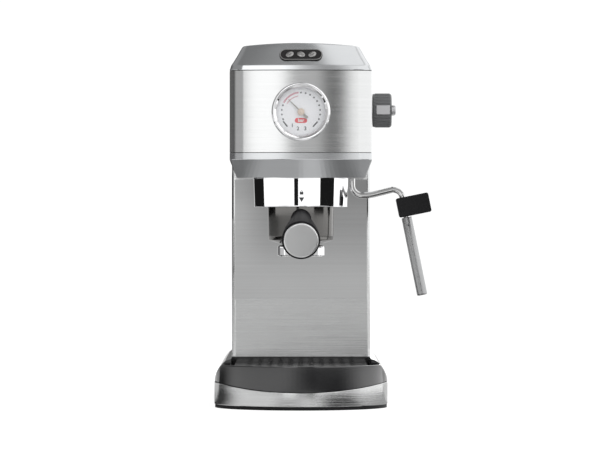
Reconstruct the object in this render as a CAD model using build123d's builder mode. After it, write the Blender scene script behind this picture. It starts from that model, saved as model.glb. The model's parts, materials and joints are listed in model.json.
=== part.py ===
from build123d import *
import os
from math import atan2, cos, hypot, radians, sin, tan

# Slim pump espresso machine, in millimetres.
# Origin: middle of the base, on the surface it stands on.  -Y is the front, +X its right side seen from
# the front, +Z up.

os.makedirs("parts", exist_ok=True)

# ------------------------------------------------------------------ driving dimensions
# Base
BASE_HALF = 75.0            # half width
BASE_FRONT = -165.0         # foremost point of the bowed front
BASE_REAR = 165.0
BOW_DEPTH = 60.0            # depth of the half-ellipse that makes the front
REAR_CORNER = 38.0
RIM_TOP = 3.0               # top of the black base plate
SEAM_Z = 14.8               # lowest point of the curved seam above the steel band
SEAM_RADIUS = 360.0
SEAM_GAP = 0.4
SHOULDER_Z = 19.0           # where the upright sides start to roll over
SHOULDER_WIDTH = 15.6
DECK_Z = 41.5               # flat top of the base
WALL = 2.5                  # moulded wall
SHEET = 1.0                 # steel sheet

# Drip tray
TRAY_HALF = 58.0
BAY_HALF = 60.6
TRAY_SPLIT = -108.0         # plane where the sliding front meets the fixed shoulders
TRAY_REAR = -54.0
TRAY_FLOOR = 20.2
TRAY_WALL = 1.8
TRAY_FRONT_TOP = 37.5
GRID_TOP = 36.5
GRID_SHEET = 1.5
BAY_FLOOR = 19.6

# Tower and head
BODY_HALF = 61.0
TOWER_FRONT = -50.0
BODY_REAR = 62.0
APRON_Z = 38.4              # lower edge of the tower's front sheet
HEAD_SIDE_FRONT = -155.0    # where the bowed front would meet the sides
HEAD_BOW = 6.0
HEAD_CORNER = 14.0
HEAD_BOTTOM = 198.0
LOWER_BEVEL_TOP = 213.2
LOWER_SEAM = 219.5
UPPER_SEAM = 289.0
UPPER_BEVEL = 293.6
BEVEL_TOP = 310.0
HEAD_TOP = 313.0
LOWER_INSET = 6.0
FACET_INSET = 1.2
UPPER_INSET = 11.0
DOME_RADIUS = 500.0
ROOF_UNDERSIDE = 304.0

# Group and portafilter, on one upright axis
GROUP_Y = -106.0
SHROUD_BOTTOM = 173.2
SHROUD_TOP_R = 41.2
SHROUD_BOTTOM_R = 40.3
GROUP_RING_R = 38.5
LUG_R = 35.6
CUP_R = 29.0
CUP_BORE_R = 26.7
CUP_BOTTOM = 145.0
CUP_TOP = 186.0
BASKET_R = 26.3
BASKET_INNER_R = 25.5       # takes a 51 mm tamper
SPOUT_HALF = 20.5
SPOUT_TOP = 140.3
SPOUT_BOTTOM = 130.4
HANDLE_Z = 163.7            # height of the handle's axis at the cup wall
HANDLE_DROP = 8.6           # slope of the handle in degrees
HANDLE_LENGTH = 124.0
HANDLE_END_R = 15.0
CAP_R = 14.0

# Gauge
GAUGE_Z = 253.8
BEZEL_R = 25.0
DIAL_R = 21.2
GAUGE_SEAT = -161.1         # plane in front of the bowed steel wrap
NEEDLE_LENGTH = 15.0
NEEDLE_ANGLE = 135.0        # where it points, counted from +X towards +Z

# Steam knob, valve and wand
KNOB_Y = -100.0
KNOB_Z = 257.0
KNOB_R = 14.8
KNOB_IN = 62.2
KNOB_OUT = 78.5
KNOB_BAR_OUT = 82.0
KNOB_RIBS = 28
WAND_X = 44.3
WAND_Y = -94.0
PIPE_R = 2.75
WAND_DROP = (0.199, -0.98)  # direction of the wand's long straight leg in X and Z
SLEEVE_R = 4.5
SLEEVE_LENGTH = 68.9
SLEEVE_TOP = (91.8, 164.6)  # X and Z of the sleeve's upper end

# Boiler
BOILER_Y = -100.0
BOILER_R = 33.0
BOILER_FLANGE_R = 36.5
DECK_LOW = 206.0            # underside of the chassis deck
DECK_HIGH = 208.0
BOILER_TOP = 262.0
CAP_TOP = 266.0

# Pump
PUMP_X = -15.0
PUMP_Y = 5.0
PUMP_R = 13.0
PUMP_LOW = 70.0
PUMP_HIGH = 185.0

# Water tank
TANK_HALF = 58.0
TANK_FRONT = 70.0
TANK_REAR = 159.0
TANK_BOTTOM = 46.0
TANK_TOP = 286.0
TANK_WALL = 2.2
TANK_VALVE_Y = 114.0
LID_HINGE_Y = 161.8
LID_HINGE_Z = 286.6

# Controls on the top
BUTTON_PITCH = 22.0
BUTTON_Y = -114.0
BUTTON_R = 7.8
STRIP_SEAT = 308.2
STRIP_TOP = 309.6
PLATE_SEAT = 309.0

FAR = 400.0                 # larger than the machine, for cutting


# ------------------------------------------------------------------ shared outlines
def base_plan(inset):
    """Plan of the base: half-ellipse front, straight sides, rounded rear corners."""
    half = BASE_HALF - inset
    bow = BOW_DEPTH - inset
    bow_y = BASE_FRONT + BOW_DEPTH
    rear = BASE_REAR - inset
    with BuildSketch() as plan:
        with Locations((0, bow_y)):
            Ellipse(half, bow)
        with Locations((0, (bow_y + rear) / 2)):
            Rectangle(2 * half, rear - bow_y)
        fillet(plan.vertices().group_by(Axis.Y)[-1], REAR_CORNER - inset)
    return plan.sketch


def base_section(inset):
    """Section across the base: upright sides that roll over in quarter ellipses to a flat deck."""
    flat = BASE_HALF - SHOULDER_WIDTH
    side = BASE_HALF - inset
    top = DECK_Z - inset
    with BuildSketch() as section:
        with Locations((0, SHOULDER_Z / 2)):
            Rectangle(2 * side, SHOULDER_Z)
        with Locations((0, top / 2)):
            Rectangle(2 * flat, top)
        with Locations((-flat, SHOULDER_Z), (flat, SHOULDER_Z)):
            Ellipse(SHOULDER_WIDTH - inset, top - SHOULDER_Z)
    return section.sketch


def seam_disc(gap):
    """The large circle whose lowest arc is the curved seam of the base, raised by gap."""
    with BuildSketch() as disc:
        with Locations((0, SEAM_Z + SEAM_RADIUS + gap)):
            Circle(SEAM_RADIUS)
    return disc.sketch


def head_plan(inset, rear):
    """Plan of the head: straight sides, gently bowed front, round front corners."""
    half = BODY_HALF - inset
    front = HEAD_SIDE_FRONT + inset
    with BuildSketch() as plan:
        with BuildLine():
            Polyline((half, front), (half, rear), (-half, rear), (-half, front))
            ThreePointArc((-half, front), (0, front - HEAD_BOW), (half, front))
        make_face()
        fillet(plan.vertices().group_by(Axis.Y)[0], HEAD_CORNER - inset / 2)
    return plan.sketch


def tower_plan(inset):
    """Plan of the tower: a rectangle with tight front corners, open at the back once it is hollowed."""
    half = BODY_HALF - inset
    front = TOWER_FRONT + inset
    with BuildSketch() as plan:
        with Locations((0, (front + BODY_REAR) / 2)):
            Rectangle(2 * half, BODY_REAR - front)
        fillet(plan.vertices().group_by(Axis.Y)[0], 3.0 - inset)
    return plan.sketch


def tank_plan(inset):
    """Plan of the water tank: wide round corners at the back, small ones at the front."""
    half = TANK_HALF - inset
    front = TANK_FRONT + inset
    rear = TANK_REAR - inset
    with BuildSketch() as plan:
        with Locations((0, (front + rear) / 2)):
            Rectangle(2 * half, rear - front)
        fillet(plan.vertices().group_by(Axis.Y)[-1], 26.0 - inset)
        fillet(plan.vertices().group_by(Axis.Y)[0], 6.0 - inset)
    return plan.sketch


def tube_along(points, corner_radius, tube_radius, bore_radius=0.0):
    """A tube swept along straight runs joined by tangent arcs."""
    with BuildPart() as tube:
        with BuildLine() as path:
            FilletPolyline(*points, radius=corner_radius)
        start = path.line @ 0
        heading = path.line % 0
        with BuildSketch(Plane(origin=start, z_dir=heading)):
            Circle(tube_radius)
            if bore_radius:
                Circle(bore_radius, mode=Mode.SUBTRACT)
        sweep(path=path.line)
    return tube


# ------------------------------------------------------------------ base
FOOT_R = 8.8
FOOT_DEPTH = 2.0
FOOT_PLACES = [(-52, -105), (52, -105), (-52, 125), (52, 125)]
SCREW_PLACES = [(-45, -82), (45, -82), (-45, 100), (45, 100)]
SCREW_R = 1.7
SCREW_HEAD_R = 4.0
SCREW_END = 12.0

# Black bottom plate: its underside is the plane the machine stands on.
with BuildPart() as base_plate:
    with BuildSketch():
        add(base_plan(0.6))
    extrude(amount=RIM_TOP)
    with BuildSketch(Plane.XY.offset(RIM_TOP)):
        add(base_plan(1.5))
        add(base_plan(3.5), mode=Mode.SUBTRACT)
    extrude(amount=8.0)
    with BuildSketch():
        with Locations(*FOOT_PLACES):
            Circle(FOOT_R + 0.2)
    extrude(amount=FOOT_DEPTH, mode=Mode.SUBTRACT)
    with BuildSketch():
        with Locations(*SCREW_PLACES):
            Circle(SCREW_HEAD_R + 1.0)
    extrude(amount=1.6, mode=Mode.SUBTRACT)
    with BuildSketch():
        with Locations(*SCREW_PLACES):
            Circle(SCREW_R + 0.3)
    extrude(amount=RIM_TOP, mode=Mode.SUBTRACT)

# Rubber pads, flush in their pockets.
with BuildPart() as feet:
    with BuildSketch():
        with Locations(*FOOT_PLACES):
            Circle(FOOT_R)
    extrude(amount=FOOT_DEPTH)

# Screws that hold the plate to the bosses under the deck.
with BuildPart() as base_screws:
    with BuildSketch(Plane.XY.offset(0.3)):
        with Locations(*SCREW_PLACES):
            Circle(SCREW_HEAD_R)
    extrude(amount=1.3)
    with BuildSketch(Plane.XY.offset(1.6)):
        with Locations(*SCREW_PLACES):
            Circle(SCREW_R)
    extrude(amount=SCREW_END - 1.6)

# Steel band round the foot of the machine, its upper edge cut by the curved seam.
with BuildPart() as base_band:
    with BuildSketch(Plane.XY.offset(RIM_TOP)):
        add(base_plan(0))
        add(base_plan(1.2), mode=Mode.SUBTRACT)
    extrude(amount=SHOULDER_Z)
    with BuildSketch(Plane.XZ):
        with Locations((0, 20)):
            Rectangle(2 * BASE_HALF + 20, 40)
        add(seam_disc(0), mode=Mode.SUBTRACT)
    extrude(amount=FAR, both=True, mode=Mode.INTERSECT)

# The hollow under the deck; the drip tray's bay keeps its own walls and floor.
with BuildPart() as base_core:
    with BuildSketch():
        add(base_plan(WALL))
    extrude(amount=60)
    with BuildSketch(Plane.XZ):
        add(base_section(WALL))
    extrude(amount=FAR, both=True, mode=Mode.INTERSECT)
    with BuildSketch(Plane.XY.offset(BAY_FLOOR - 2.0)):
        with Locations((0, (BASE_FRONT - 5 + TOWER_FRONT + 2) / 2)):
            Rectangle(2 * (BAY_HALF + 2.0), TOWER_FRONT + 2 - BASE_FRONT + 5)
    extrude(amount=60, mode=Mode.SUBTRACT)
    with BuildSketch():
        with Locations(*SCREW_PLACES):
            Circle(4.5)
    extrude(amount=60, mode=Mode.SUBTRACT)

CORD_Z = 24.0
CORD_X = -40.0

# Dark moulded base: rolled shoulders, deck, tray bay and rear wall.
with BuildPart() as base_housing:
    with BuildSketch(Plane.XY.offset(RIM_TOP)):
        add(base_plan(0))
    extrude(amount=60)
    with BuildSketch(Plane.XZ):
        add(base_section(0))
    extrude(amount=FAR, both=True, mode=Mode.INTERSECT)
    with BuildSketch(Plane.XZ):
        add(seam_disc(SEAM_GAP))
    extrude(amount=FAR, both=True, mode=Mode.INTERSECT)
    add(base_core.part, mode=Mode.SUBTRACT)
    with BuildSketch(Plane.XY.offset(BAY_FLOOR)):
        with Locations((0, (BASE_FRONT + TOWER_FRONT - 1) / 2)):
            Rectangle(2 * BAY_HALF, TOWER_FRONT - 1 - BASE_FRONT)
    extrude(amount=60, mode=Mode.SUBTRACT)
    with BuildSketch(Plane.XY.offset(APRON_Z - 0.1)):
        with Locations((0, (BASE_FRONT + TOWER_FRONT + SHEET) / 2)):
            Rectangle(2 * BAY_HALF, TOWER_FRONT + SHEET - BASE_FRONT)
    extrude(amount=60, mode=Mode.SUBTRACT)
    with BuildSketch():
        with Locations((0, (BASE_FRONT - 10 + TRAY_SPLIT) / 2)):
            Rectangle(2 * BASE_HALF + 10, TRAY_SPLIT - BASE_FRONT + 10)
    extrude(amount=60, mode=Mode.SUBTRACT)
    with BuildSketch():
        with Locations(*SCREW_PLACES):
            Circle(SCREW_R + 0.1)
    extrude(amount=SCREW_END + 1, mode=Mode.SUBTRACT)
    with BuildSketch():
        with Locations((PUMP_X, PUMP_Y), (0, TANK_VALVE_Y)):
            Circle(6.5)
    extrude(amount=60, mode=Mode.SUBTRACT)
    with BuildSketch(Plane.XZ.offset(-BASE_REAR - 5)):
        with Locations((CORD_X, CORD_Z)):
            Circle(6.0)
    extrude(amount=15, mode=Mode.SUBTRACT)

# Flanged bush where the mains lead would leave the rear wall.
with BuildPart() as cord_gland:
    with BuildSketch(Plane.XZ.offset(-BASE_REAR + 6)):
        with Locations((CORD_X, CORD_Z)):
            Circle(5.8)
    extrude(amount=-6)
    with BuildSketch(Plane.XZ.offset(-BASE_REAR)):
        with Locations((CORD_X, CORD_Z)):
            Circle(7.5)
    extrude(amount=-1.2)
    with BuildSketch(Plane.XZ.offset(-BASE_REAR + 6)):
        with Locations((CORD_X, CORD_Z)):
            Circle(3.4)
    extrude(amount=-8, mode=Mode.SUBTRACT)

# ------------------------------------------------------------------ drip tray
# Bowed front of the tray; it slides over the steel band.
with BuildPart() as tray_front:
    with BuildSketch(Plane.XY.offset(RIM_TOP)):
        add(base_plan(0))
    extrude(amount=60)
    with BuildSketch(Plane.XZ):
        add(base_section(0))
    extrude(amount=FAR, both=True, mode=Mode.INTERSECT)
    with BuildSketch(Plane.XY.offset(RIM_TOP)):
        add(base_plan(WALL))
    extrude(amount=60, mode=Mode.SUBTRACT)
    with BuildSketch(Plane.XZ):
        add(seam_disc(SEAM_GAP))
    extrude(amount=FAR, both=True, mode=Mode.INTERSECT)
    with BuildSketch():
        with Locations((0, (BASE_FRONT - 10 + TRAY_SPLIT - SEAM_GAP) / 2)):
            Rectangle(2 * BASE_HALF + 10, TRAY_SPLIT - SEAM_GAP - BASE_FRONT + 10)
    extrude(amount=TRAY_FRONT_TOP, mode=Mode.INTERSECT)

# Open box that catches the water.
with BuildPart() as drip_tray:
    with BuildSketch(Plane.XY.offset(TRAY_FLOOR)):
        add(base_plan(WALL))
        with Locations((0, (BASE_FRONT + TRAY_REAR) / 2)):
            Rectangle(2 * TRAY_HALF, TRAY_REAR - BASE_FRONT, mode=Mode.INTERSECT)
    extrude(amount=GRID_TOP - GRID_SHEET - 0.1 - TRAY_FLOOR)
    with BuildSketch(Plane.XY.offset(TRAY_FLOOR + TRAY_WALL)):
        add(base_plan(WALL + TRAY_WALL))
        with Locations((0, (BASE_FRONT + TRAY_REAR - TRAY_WALL) / 2)):
            Rectangle(2 * (TRAY_HALF - TRAY_WALL), TRAY_REAR - TRAY_WALL - BASE_FRONT, mode=Mode.INTERSECT)
    extrude(amount=60, mode=Mode.SUBTRACT)

GRID_HOLE_R = 2.6
GRID_PITCH = 9.0

# Perforated sheet that the cups stand on.
with BuildPart() as drip_grid:
    with BuildSketch(Plane.XY.offset(GRID_TOP - GRID_SHEET)):
        add(base_plan(WALL + 0.5))
        with Locations((0, (BASE_FRONT + TRAY_REAR - 0.5) / 2)):
            Rectangle(2 * (TRAY_HALF - 0.5), TRAY_REAR - 0.5 - BASE_FRONT, mode=Mode.INTERSECT)
        with Locations((0, -98)):
            with GridLocations(GRID_PITCH, GRID_PITCH, 11, 9):
                Circle(GRID_HOLE_R, mode=Mode.SUBTRACT)
    extrude(amount=GRID_SHEET)

# ------------------------------------------------------------------ tower
# Folded steel sheet: front and both sides; the front stops under the head.
with BuildPart() as tower_panel:
    with BuildSketch(Plane.XY.offset(DECK_Z)):
        add(tower_plan(0))
        add(tower_plan(SHEET), mode=Mode.SUBTRACT)
    extrude(amount=LOWER_SEAM - DECK_Z)
    with BuildSketch(Plane.XY.offset(APRON_Z)):
        with Locations((0, TOWER_FRONT + SHEET / 2)):
            Rectangle(2 * BAY_HALF - 0.8, SHEET)
    extrude(amount=DECK_Z - APRON_Z)
    with BuildSketch(Plane.XZ.offset(-TOWER_FRONT - 10)):
        with Locations((0, (HEAD_BOTTOM + FAR) / 2)):
            Rectangle(2 * (BODY_HALF - 4), FAR - HEAD_BOTTOM)
    extrude(amount=20, mode=Mode.SUBTRACT)

REAR_SHEET = 3.0

# Plastic back wall of tower and head.
with BuildPart() as rear_cover:
    with BuildSketch(Plane.XZ.offset(-BODY_REAR)):
        with BuildLine():
            Polyline(
                (BODY_HALF, DECK_Z),
                (BODY_HALF, UPPER_SEAM),
                (BODY_HALF - FACET_INSET, UPPER_BEVEL),
                (BODY_HALF - UPPER_INSET, BEVEL_TOP),
                (-BODY_HALF + UPPER_INSET, BEVEL_TOP),
                (-BODY_HALF + FACET_INSET, UPPER_BEVEL),
                (-BODY_HALF, UPPER_SEAM),
                (-BODY_HALF, DECK_Z),
                close=True,
            )
        make_face()
    extrude(amount=-REAR_SHEET)

FRAME_HALF = 54.0
FRAME_BACK = 53.5
FRAME_FRONT = -141.0
FRAME_SHEET = 1.5
STEAM_HOLE_R = 6.6

# Folded steel frame: foot on the deck, upright against the back, deck under the boiler.
with BuildPart() as chassis:
    with BuildSketch(Plane.XY.offset(DECK_Z)):
        with Locations((0, (-40 + FRAME_BACK) / 2)):
            Rectangle(2 * FRAME_HALF, FRAME_BACK + 40)
        with Locations((PUMP_X, PUMP_Y)):
            Circle(6.5, mode=Mode.SUBTRACT)
    extrude(amount=FRAME_SHEET)
    with BuildSketch(Plane.XY.offset(DECK_Z)):
        with Locations((0, FRAME_BACK - FRAME_SHEET / 2)):
            Rectangle(2 * FRAME_HALF, FRAME_SHEET)
    extrude(amount=UPPER_SEAM - 6 - DECK_Z)
    with BuildSketch(Plane.XY.offset(DECK_LOW)):
        with Locations((0, (FRAME_FRONT + FRAME_BACK) / 2)):
            Rectangle(2 * FRAME_HALF, FRAME_BACK - FRAME_FRONT)
        with Locations((0, GROUP_Y)):
            Circle(22.0, mode=Mode.SUBTRACT)
        with Locations((WAND_X, WAND_Y)):
            Circle(STEAM_HOLE_R, mode=Mode.SUBTRACT)
        with Locations((PUMP_X, PUMP_Y)):
            Circle(8.0, mode=Mode.SUBTRACT)
    extrude(amount=DECK_HIGH - DECK_LOW)

# ------------------------------------------------------------------ head
# Room inside the lower cover.
with BuildPart() as head_bottom_core:
    with BuildSketch(Plane.XY.offset(HEAD_BOTTOM + WALL)):
        add(head_plan(LOWER_INSET + WALL, TOWER_FRONT + 1))
    with BuildSketch(Plane.XY.offset(LOWER_BEVEL_TOP)):
        add(head_plan(WALL, TOWER_FRONT + 1))
    with BuildSketch(Plane.XY.offset(LOWER_SEAM + 1)):
        add(head_plan(WALL, TOWER_FRONT + 1))
    loft(ruled=True)

# Lower cover: flat underside, bevel and narrow facet on three sides, open towards the tower.
with BuildPart() as head_bottom_cover:
    with BuildSketch(Plane.XY.offset(HEAD_BOTTOM)):
        add(head_plan(LOWER_INSET, TOWER_FRONT))
    with BuildSketch(Plane.XY.offset(LOWER_BEVEL_TOP)):
        add(head_plan(0, TOWER_FRONT))
    with BuildSketch(Plane.XY.offset(LOWER_SEAM - SEAM_GAP)):
        add(head_plan(0, TOWER_FRONT))
    loft(ruled=True)
    add(head_bottom_core.part, mode=Mode.SUBTRACT)
    with BuildSketch(Plane.XY.offset(HEAD_BOTTOM)):
        with Locations((0, GROUP_Y)):
            Circle(GROUP_RING_R + 0.3)
        with Locations((WAND_X, WAND_Y)):
            Circle(PIPE_R + 0.6)
    extrude(amount=WALL, mode=Mode.SUBTRACT)

# Brushed steel wrap round the front and sides.
with BuildPart() as head_wrap:
    with BuildSketch(Plane.XY.offset(LOWER_SEAM)):
        add(head_plan(0, BODY_REAR))
        add(head_plan(SHEET, BODY_REAR), mode=Mode.SUBTRACT)
    extrude(amount=UPPER_SEAM - LOWER_SEAM)
    with BuildSketch(Plane.XZ.offset(130)):
        with Locations((0, GAUGE_Z)):
            Circle(DIAL_R + 1.8)
    extrude(amount=60, mode=Mode.SUBTRACT)
    with BuildSketch(Plane.YZ.offset(BODY_HALF - 10)):
        with Locations((KNOB_Y, KNOB_Z)):
            Circle(7.0)
    extrude(amount=20, mode=Mode.SUBTRACT)

BADGE_WIDTH = 36.0
BADGE_HEIGHT = 9.0
BADGE_Z = 304.0
BEVEL_TILT = atan2(UPPER_INSET - FACET_INSET, BEVEL_TOP - UPPER_BEVEL)
BADGE_Y = HEAD_SIDE_FRONT - HEAD_BOW + FACET_INSET + (BADGE_Z - UPPER_BEVEL) * tan(BEVEL_TILT)
badge_plane = Plane(
    origin=(0, BADGE_Y, BADGE_Z),
    x_dir=(1, 0, 0),
    z_dir=(0, -cos(BEVEL_TILT), sin(BEVEL_TILT)),
)

# Plain pill-shaped plaque, let into the front bevel.
with BuildPart() as badge_plate:
    with BuildSketch(badge_plane.offset(-1.6)):
        SlotOverall(BADGE_WIDTH, BADGE_HEIGHT)
    extrude(amount=3.4)
    fillet(badge_plate.faces().sort_by(Axis.Y)[0].edges(), 0.6)

# Room inside the upper cover.
with BuildPart() as head_top_core:
    with BuildSketch(Plane.XY.offset(UPPER_SEAM - 1)):
        add(head_plan(WALL, BODY_REAR))
    with BuildSketch(Plane.XY.offset(UPPER_BEVEL)):
        add(head_plan(WALL + FACET_INSET, BODY_REAR))
    with BuildSketch(Plane.XY.offset(ROOF_UNDERSIDE)):
        add(head_plan(WALL + 7.5, BODY_REAR))
    loft(ruled=True)

PLATE_HALF = 43.0
PLATE_FRONT = -72.0
PLATE_REAR = 52.0
STRIP_HALF = 41.0
STRIP_FRONT = -135.0
STRIP_REAR = -93.0

# Upper cover: narrow facet, bevel and domed roof with two shallow seats.
with BuildPart() as head_top_cover:
    with BuildSketch(Plane.XY.offset(UPPER_SEAM + SEAM_GAP)):
        add(head_plan(0, BODY_REAR))
    with BuildSketch(Plane.XY.offset(UPPER_BEVEL)):
        add(head_plan(FACET_INSET, BODY_REAR))
    with BuildSketch(Plane.XY.offset(BEVEL_TOP)):
        add(head_plan(UPPER_INSET, BODY_REAR))
    loft(ruled=True)
    with BuildSketch(Plane.XY.offset(BEVEL_TOP)):
        add(head_plan(UPPER_INSET, BODY_REAR))
    extrude(amount=HEAD_TOP - BEVEL_TOP)
    with BuildSketch(Plane.XZ):
        with Locations((0, HEAD_TOP - DOME_RADIUS)):
            Circle(DOME_RADIUS)
    extrude(amount=FAR, both=True, mode=Mode.INTERSECT)
    add(head_top_core.part, mode=Mode.SUBTRACT)
    with BuildSketch(Plane.XY.offset(PLATE_SEAT)):
        with Locations((0, (PLATE_FRONT + PLATE_REAR) / 2)):
            RectangleRounded(2 * PLATE_HALF, PLATE_REAR - PLATE_FRONT, 8)
    extrude(amount=10, mode=Mode.SUBTRACT)
    with BuildSketch(Plane.XY.offset(STRIP_SEAT)):
        with Locations((0, (STRIP_FRONT + STRIP_REAR) / 2)):
            RectangleRounded(2 * STRIP_HALF, STRIP_REAR - STRIP_FRONT, 6)
    extrude(amount=10, mode=Mode.SUBTRACT)
    with BuildSketch(Plane.XY.offset(ROOF_UNDERSIDE - 1)):
        with Locations((0, BUTTON_Y)):
            Rectangle(2 * BUTTON_PITCH + 22, 24)
    extrude(amount=10, mode=Mode.SUBTRACT)
    add(badge_plate.part, mode=Mode.SUBTRACT)

# Perforated steel plate that warms the cups.
with BuildPart() as cup_plate:
    with BuildSketch(Plane.XY.offset(PLATE_SEAT)):
        with Locations((0, (PLATE_FRONT + PLATE_REAR) / 2)):
            RectangleRounded(2 * PLATE_HALF - 0.6, PLATE_REAR - PLATE_FRONT - 0.6, 7.7)
            with GridLocations(13, 13, 6, 9):
                Circle(3.0, mode=Mode.SUBTRACT)
    extrude(amount=1.2)

# Dark strip that frames the three buttons.
with BuildPart() as control_strip:
    with BuildSketch(Plane.XY.offset(STRIP_SEAT)):
        with Locations((0, (STRIP_FRONT + STRIP_REAR) / 2)):
            RectangleRounded(2 * STRIP_HALF - 0.6, STRIP_REAR - STRIP_FRONT - 0.6, 5.7)
        with Locations((0, BUTTON_Y)):
            with GridLocations(BUTTON_PITCH, 1, 3, 1):
                Circle(BUTTON_R + 0.4, mode=Mode.SUBTRACT)
    extrude(amount=STRIP_TOP - STRIP_SEAT)


def push_button(x):
    """A round cap on a wider collar that stays under the strip."""
    with BuildPart() as button:
        with BuildSketch(Plane.XY.offset(306.2)):
            with Locations((x, BUTTON_Y)):
                Circle(BUTTON_R + 1.6)
        extrude(amount=1.5)
        with BuildSketch(Plane.XY.offset(307.0)):
            with Locations((x, BUTTON_Y)):
                Circle(BUTTON_R)
        extrude(amount=4.6)
        fillet(button.edges().group_by(Axis.Z)[-1], 0.8)
    return button


button_power = push_button(-BUTTON_PITCH)
button_coffee = push_button(0)
button_steam = push_button(BUTTON_PITCH)

# Board under the strip, with a microswitch below each button.
with BuildPart() as switch_board:
    with BuildSketch(Plane.XY.offset(298.0)):
        with Locations((0, BUTTON_Y)):
            Rectangle(84, 34)
    extrude(amount=1.6)
    with BuildSketch(Plane.XY.offset(299.6)):
        with Locations((0, BUTTON_Y)):
            with GridLocations(BUTTON_PITCH, 1, 3, 1):
                Rectangle(12, 12)
    extrude(amount=4.0)
    with BuildSketch(Plane.XY.offset(299.6)):
        with Locations((0, BUTTON_Y)):
            with GridLocations(76, 26, 2, 2):
                Circle(2.0)
    extrude(amount=ROOF_UNDERSIDE - 299.6)

# ------------------------------------------------------------------ gauge
gauge_plane = Plane(origin=(0, GAUGE_SEAT, GAUGE_Z), x_dir=(1, 0, 0), z_dir=(0, -1, 0))

# Chrome ring in front of the steel wrap.
with BuildPart() as gauge_bezel:
    with BuildSketch(Plane.YZ):
        with BuildLine():
            Line((GAUGE_SEAT, GAUGE_Z + BEZEL_R), (GAUGE_SEAT - 2.0, GAUGE_Z + BEZEL_R))
            ThreePointArc(
                (GAUGE_SEAT - 2.0, GAUGE_Z + BEZEL_R),
                (GAUGE_SEAT - 3.9, GAUGE_Z + BEZEL_R - 1.1),
                (GAUGE_SEAT - 4.5, GAUGE_Z + BEZEL_R - 2.6),
            )
            Polyline(
                (GAUGE_SEAT - 4.5, GAUGE_Z + BEZEL_R - 2.6),
                (GAUGE_SEAT - 4.0, GAUGE_Z + BEZEL_R - 4.2),
                (GAUGE_SEAT, GAUGE_Z + BEZEL_R - 4.4),
                (GAUGE_SEAT, GAUGE_Z + BEZEL_R),
            )
        make_face()
    revolve(axis=Axis((0, 0, GAUGE_Z), (0, 1, 0)), revolution_arc=360)

# Round can behind the dial.
with BuildPart() as gauge_case:
    with BuildSketch(gauge_plane):
        Circle(DIAL_R + 1.2)
    extrude(amount=-21)
    with BuildSketch(gauge_plane):
        Circle(DIAL_R)
    extrude(amount=-19.8, mode=Mode.SUBTRACT)

# Printed face plate.
with BuildPart() as gauge_dial:
    with BuildSketch(gauge_plane.offset(-3.0)):
        Circle(DIAL_R - 0.2)
        Circle(1.2, mode=Mode.SUBTRACT)
    extrude(amount=0.8)

# Flat glass held in the bezel.
with BuildPart() as gauge_glass:
    with BuildSketch(gauge_plane.offset(1.2)):
        Circle(BEZEL_R - 4.6)
    extrude(amount=1.2)

# Pointer with a counterweight tail and a hub that turns in the face plate.
with BuildPart() as gauge_needle:
    with BuildSketch(gauge_plane.offset(-1.2)):
        Circle(2.3)
        with Locations(Location((0, 0), NEEDLE_ANGLE)):
            with Locations((NEEDLE_LENGTH / 2, 0)):
                Rectangle(NEEDLE_LENGTH, 0.9)
            with Locations((-3.5, 0)):
                Rectangle(7.0, 1.6)
    extrude(amount=0.6)
    with BuildSketch(gauge_plane.offset(-5.0)):
        Circle(1.13)
    extrude(amount=4.0)

# Thin pressure line from the can to the boiler.
gauge_capillary = tube_along(
    [
        (0, GAUGE_SEAT + 21, GAUGE_Z + 16),
        (0, GAUGE_SEAT + 36, GAUGE_Z + 16),
        (0, GAUGE_SEAT + 36, CAP_TOP),
    ],
    1.6,
    1.2,
)

# ------------------------------------------------------------------ group
group_plane = Plane(origin=(0, GROUP_Y, 0), x_dir=(1, 0, 0), z_dir=(0, -1, 0))
group_axis = Axis((0, GROUP_Y, 0), (0, 0, 1))

# Polished ring that hides the bayonet.
with BuildPart() as group_shroud:
    with BuildSketch(group_plane):
        with BuildLine():
            Polyline(
                (SHROUD_TOP_R, HEAD_BOTTOM),
                (SHROUD_BOTTOM_R + 0.1, SHROUD_BOTTOM + 1.5),
                (SHROUD_BOTTOM_R, SHROUD_BOTTOM),
                (SHROUD_BOTTOM_R - 1.4, SHROUD_BOTTOM),
                (SHROUD_BOTTOM_R - 1.3, SHROUD_BOTTOM + 1.5),
                (SHROUD_TOP_R - 1.4, HEAD_BOTTOM),
                close=True,
            )
        make_face()
    revolve(axis=group_axis, revolution_arc=360)

RAMP_SPAN = 78.0
RAMP_MIDDLE = 12.0
RAMP_LOW = 175.0
RAMP_HIGH = 178.5
LUG_LOW = 179.0
LUG_HIGH = 183.5
LUG_SPAN = 30.0
GASKET_TOP = 194.0


def ring_sector(inner, outer, middle, span):
    """Part of a flat ring round the group's axis, span degrees wide about its middle angle."""
    first = radians(middle - span / 2)
    centre = radians(middle)
    last = radians(middle + span / 2)
    with BuildSketch() as sector:
        with BuildLine():
            Line((inner * cos(first), inner * sin(first)), (outer * cos(first), outer * sin(first)))
            ThreePointArc(
                (outer * cos(first), outer * sin(first)),
                (outer * cos(centre), outer * sin(centre)),
                (outer * cos(last), outer * sin(last)),
            )
            Line((outer * cos(last), outer * sin(last)), (inner * cos(last), inner * sin(last)))
            ThreePointArc(
                (inner * cos(last), inner * sin(last)),
                (inner * cos(centre), inner * sin(centre)),
                (inner * cos(first), inner * sin(first)),
            )
        make_face()
    return sector.sketch


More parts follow.
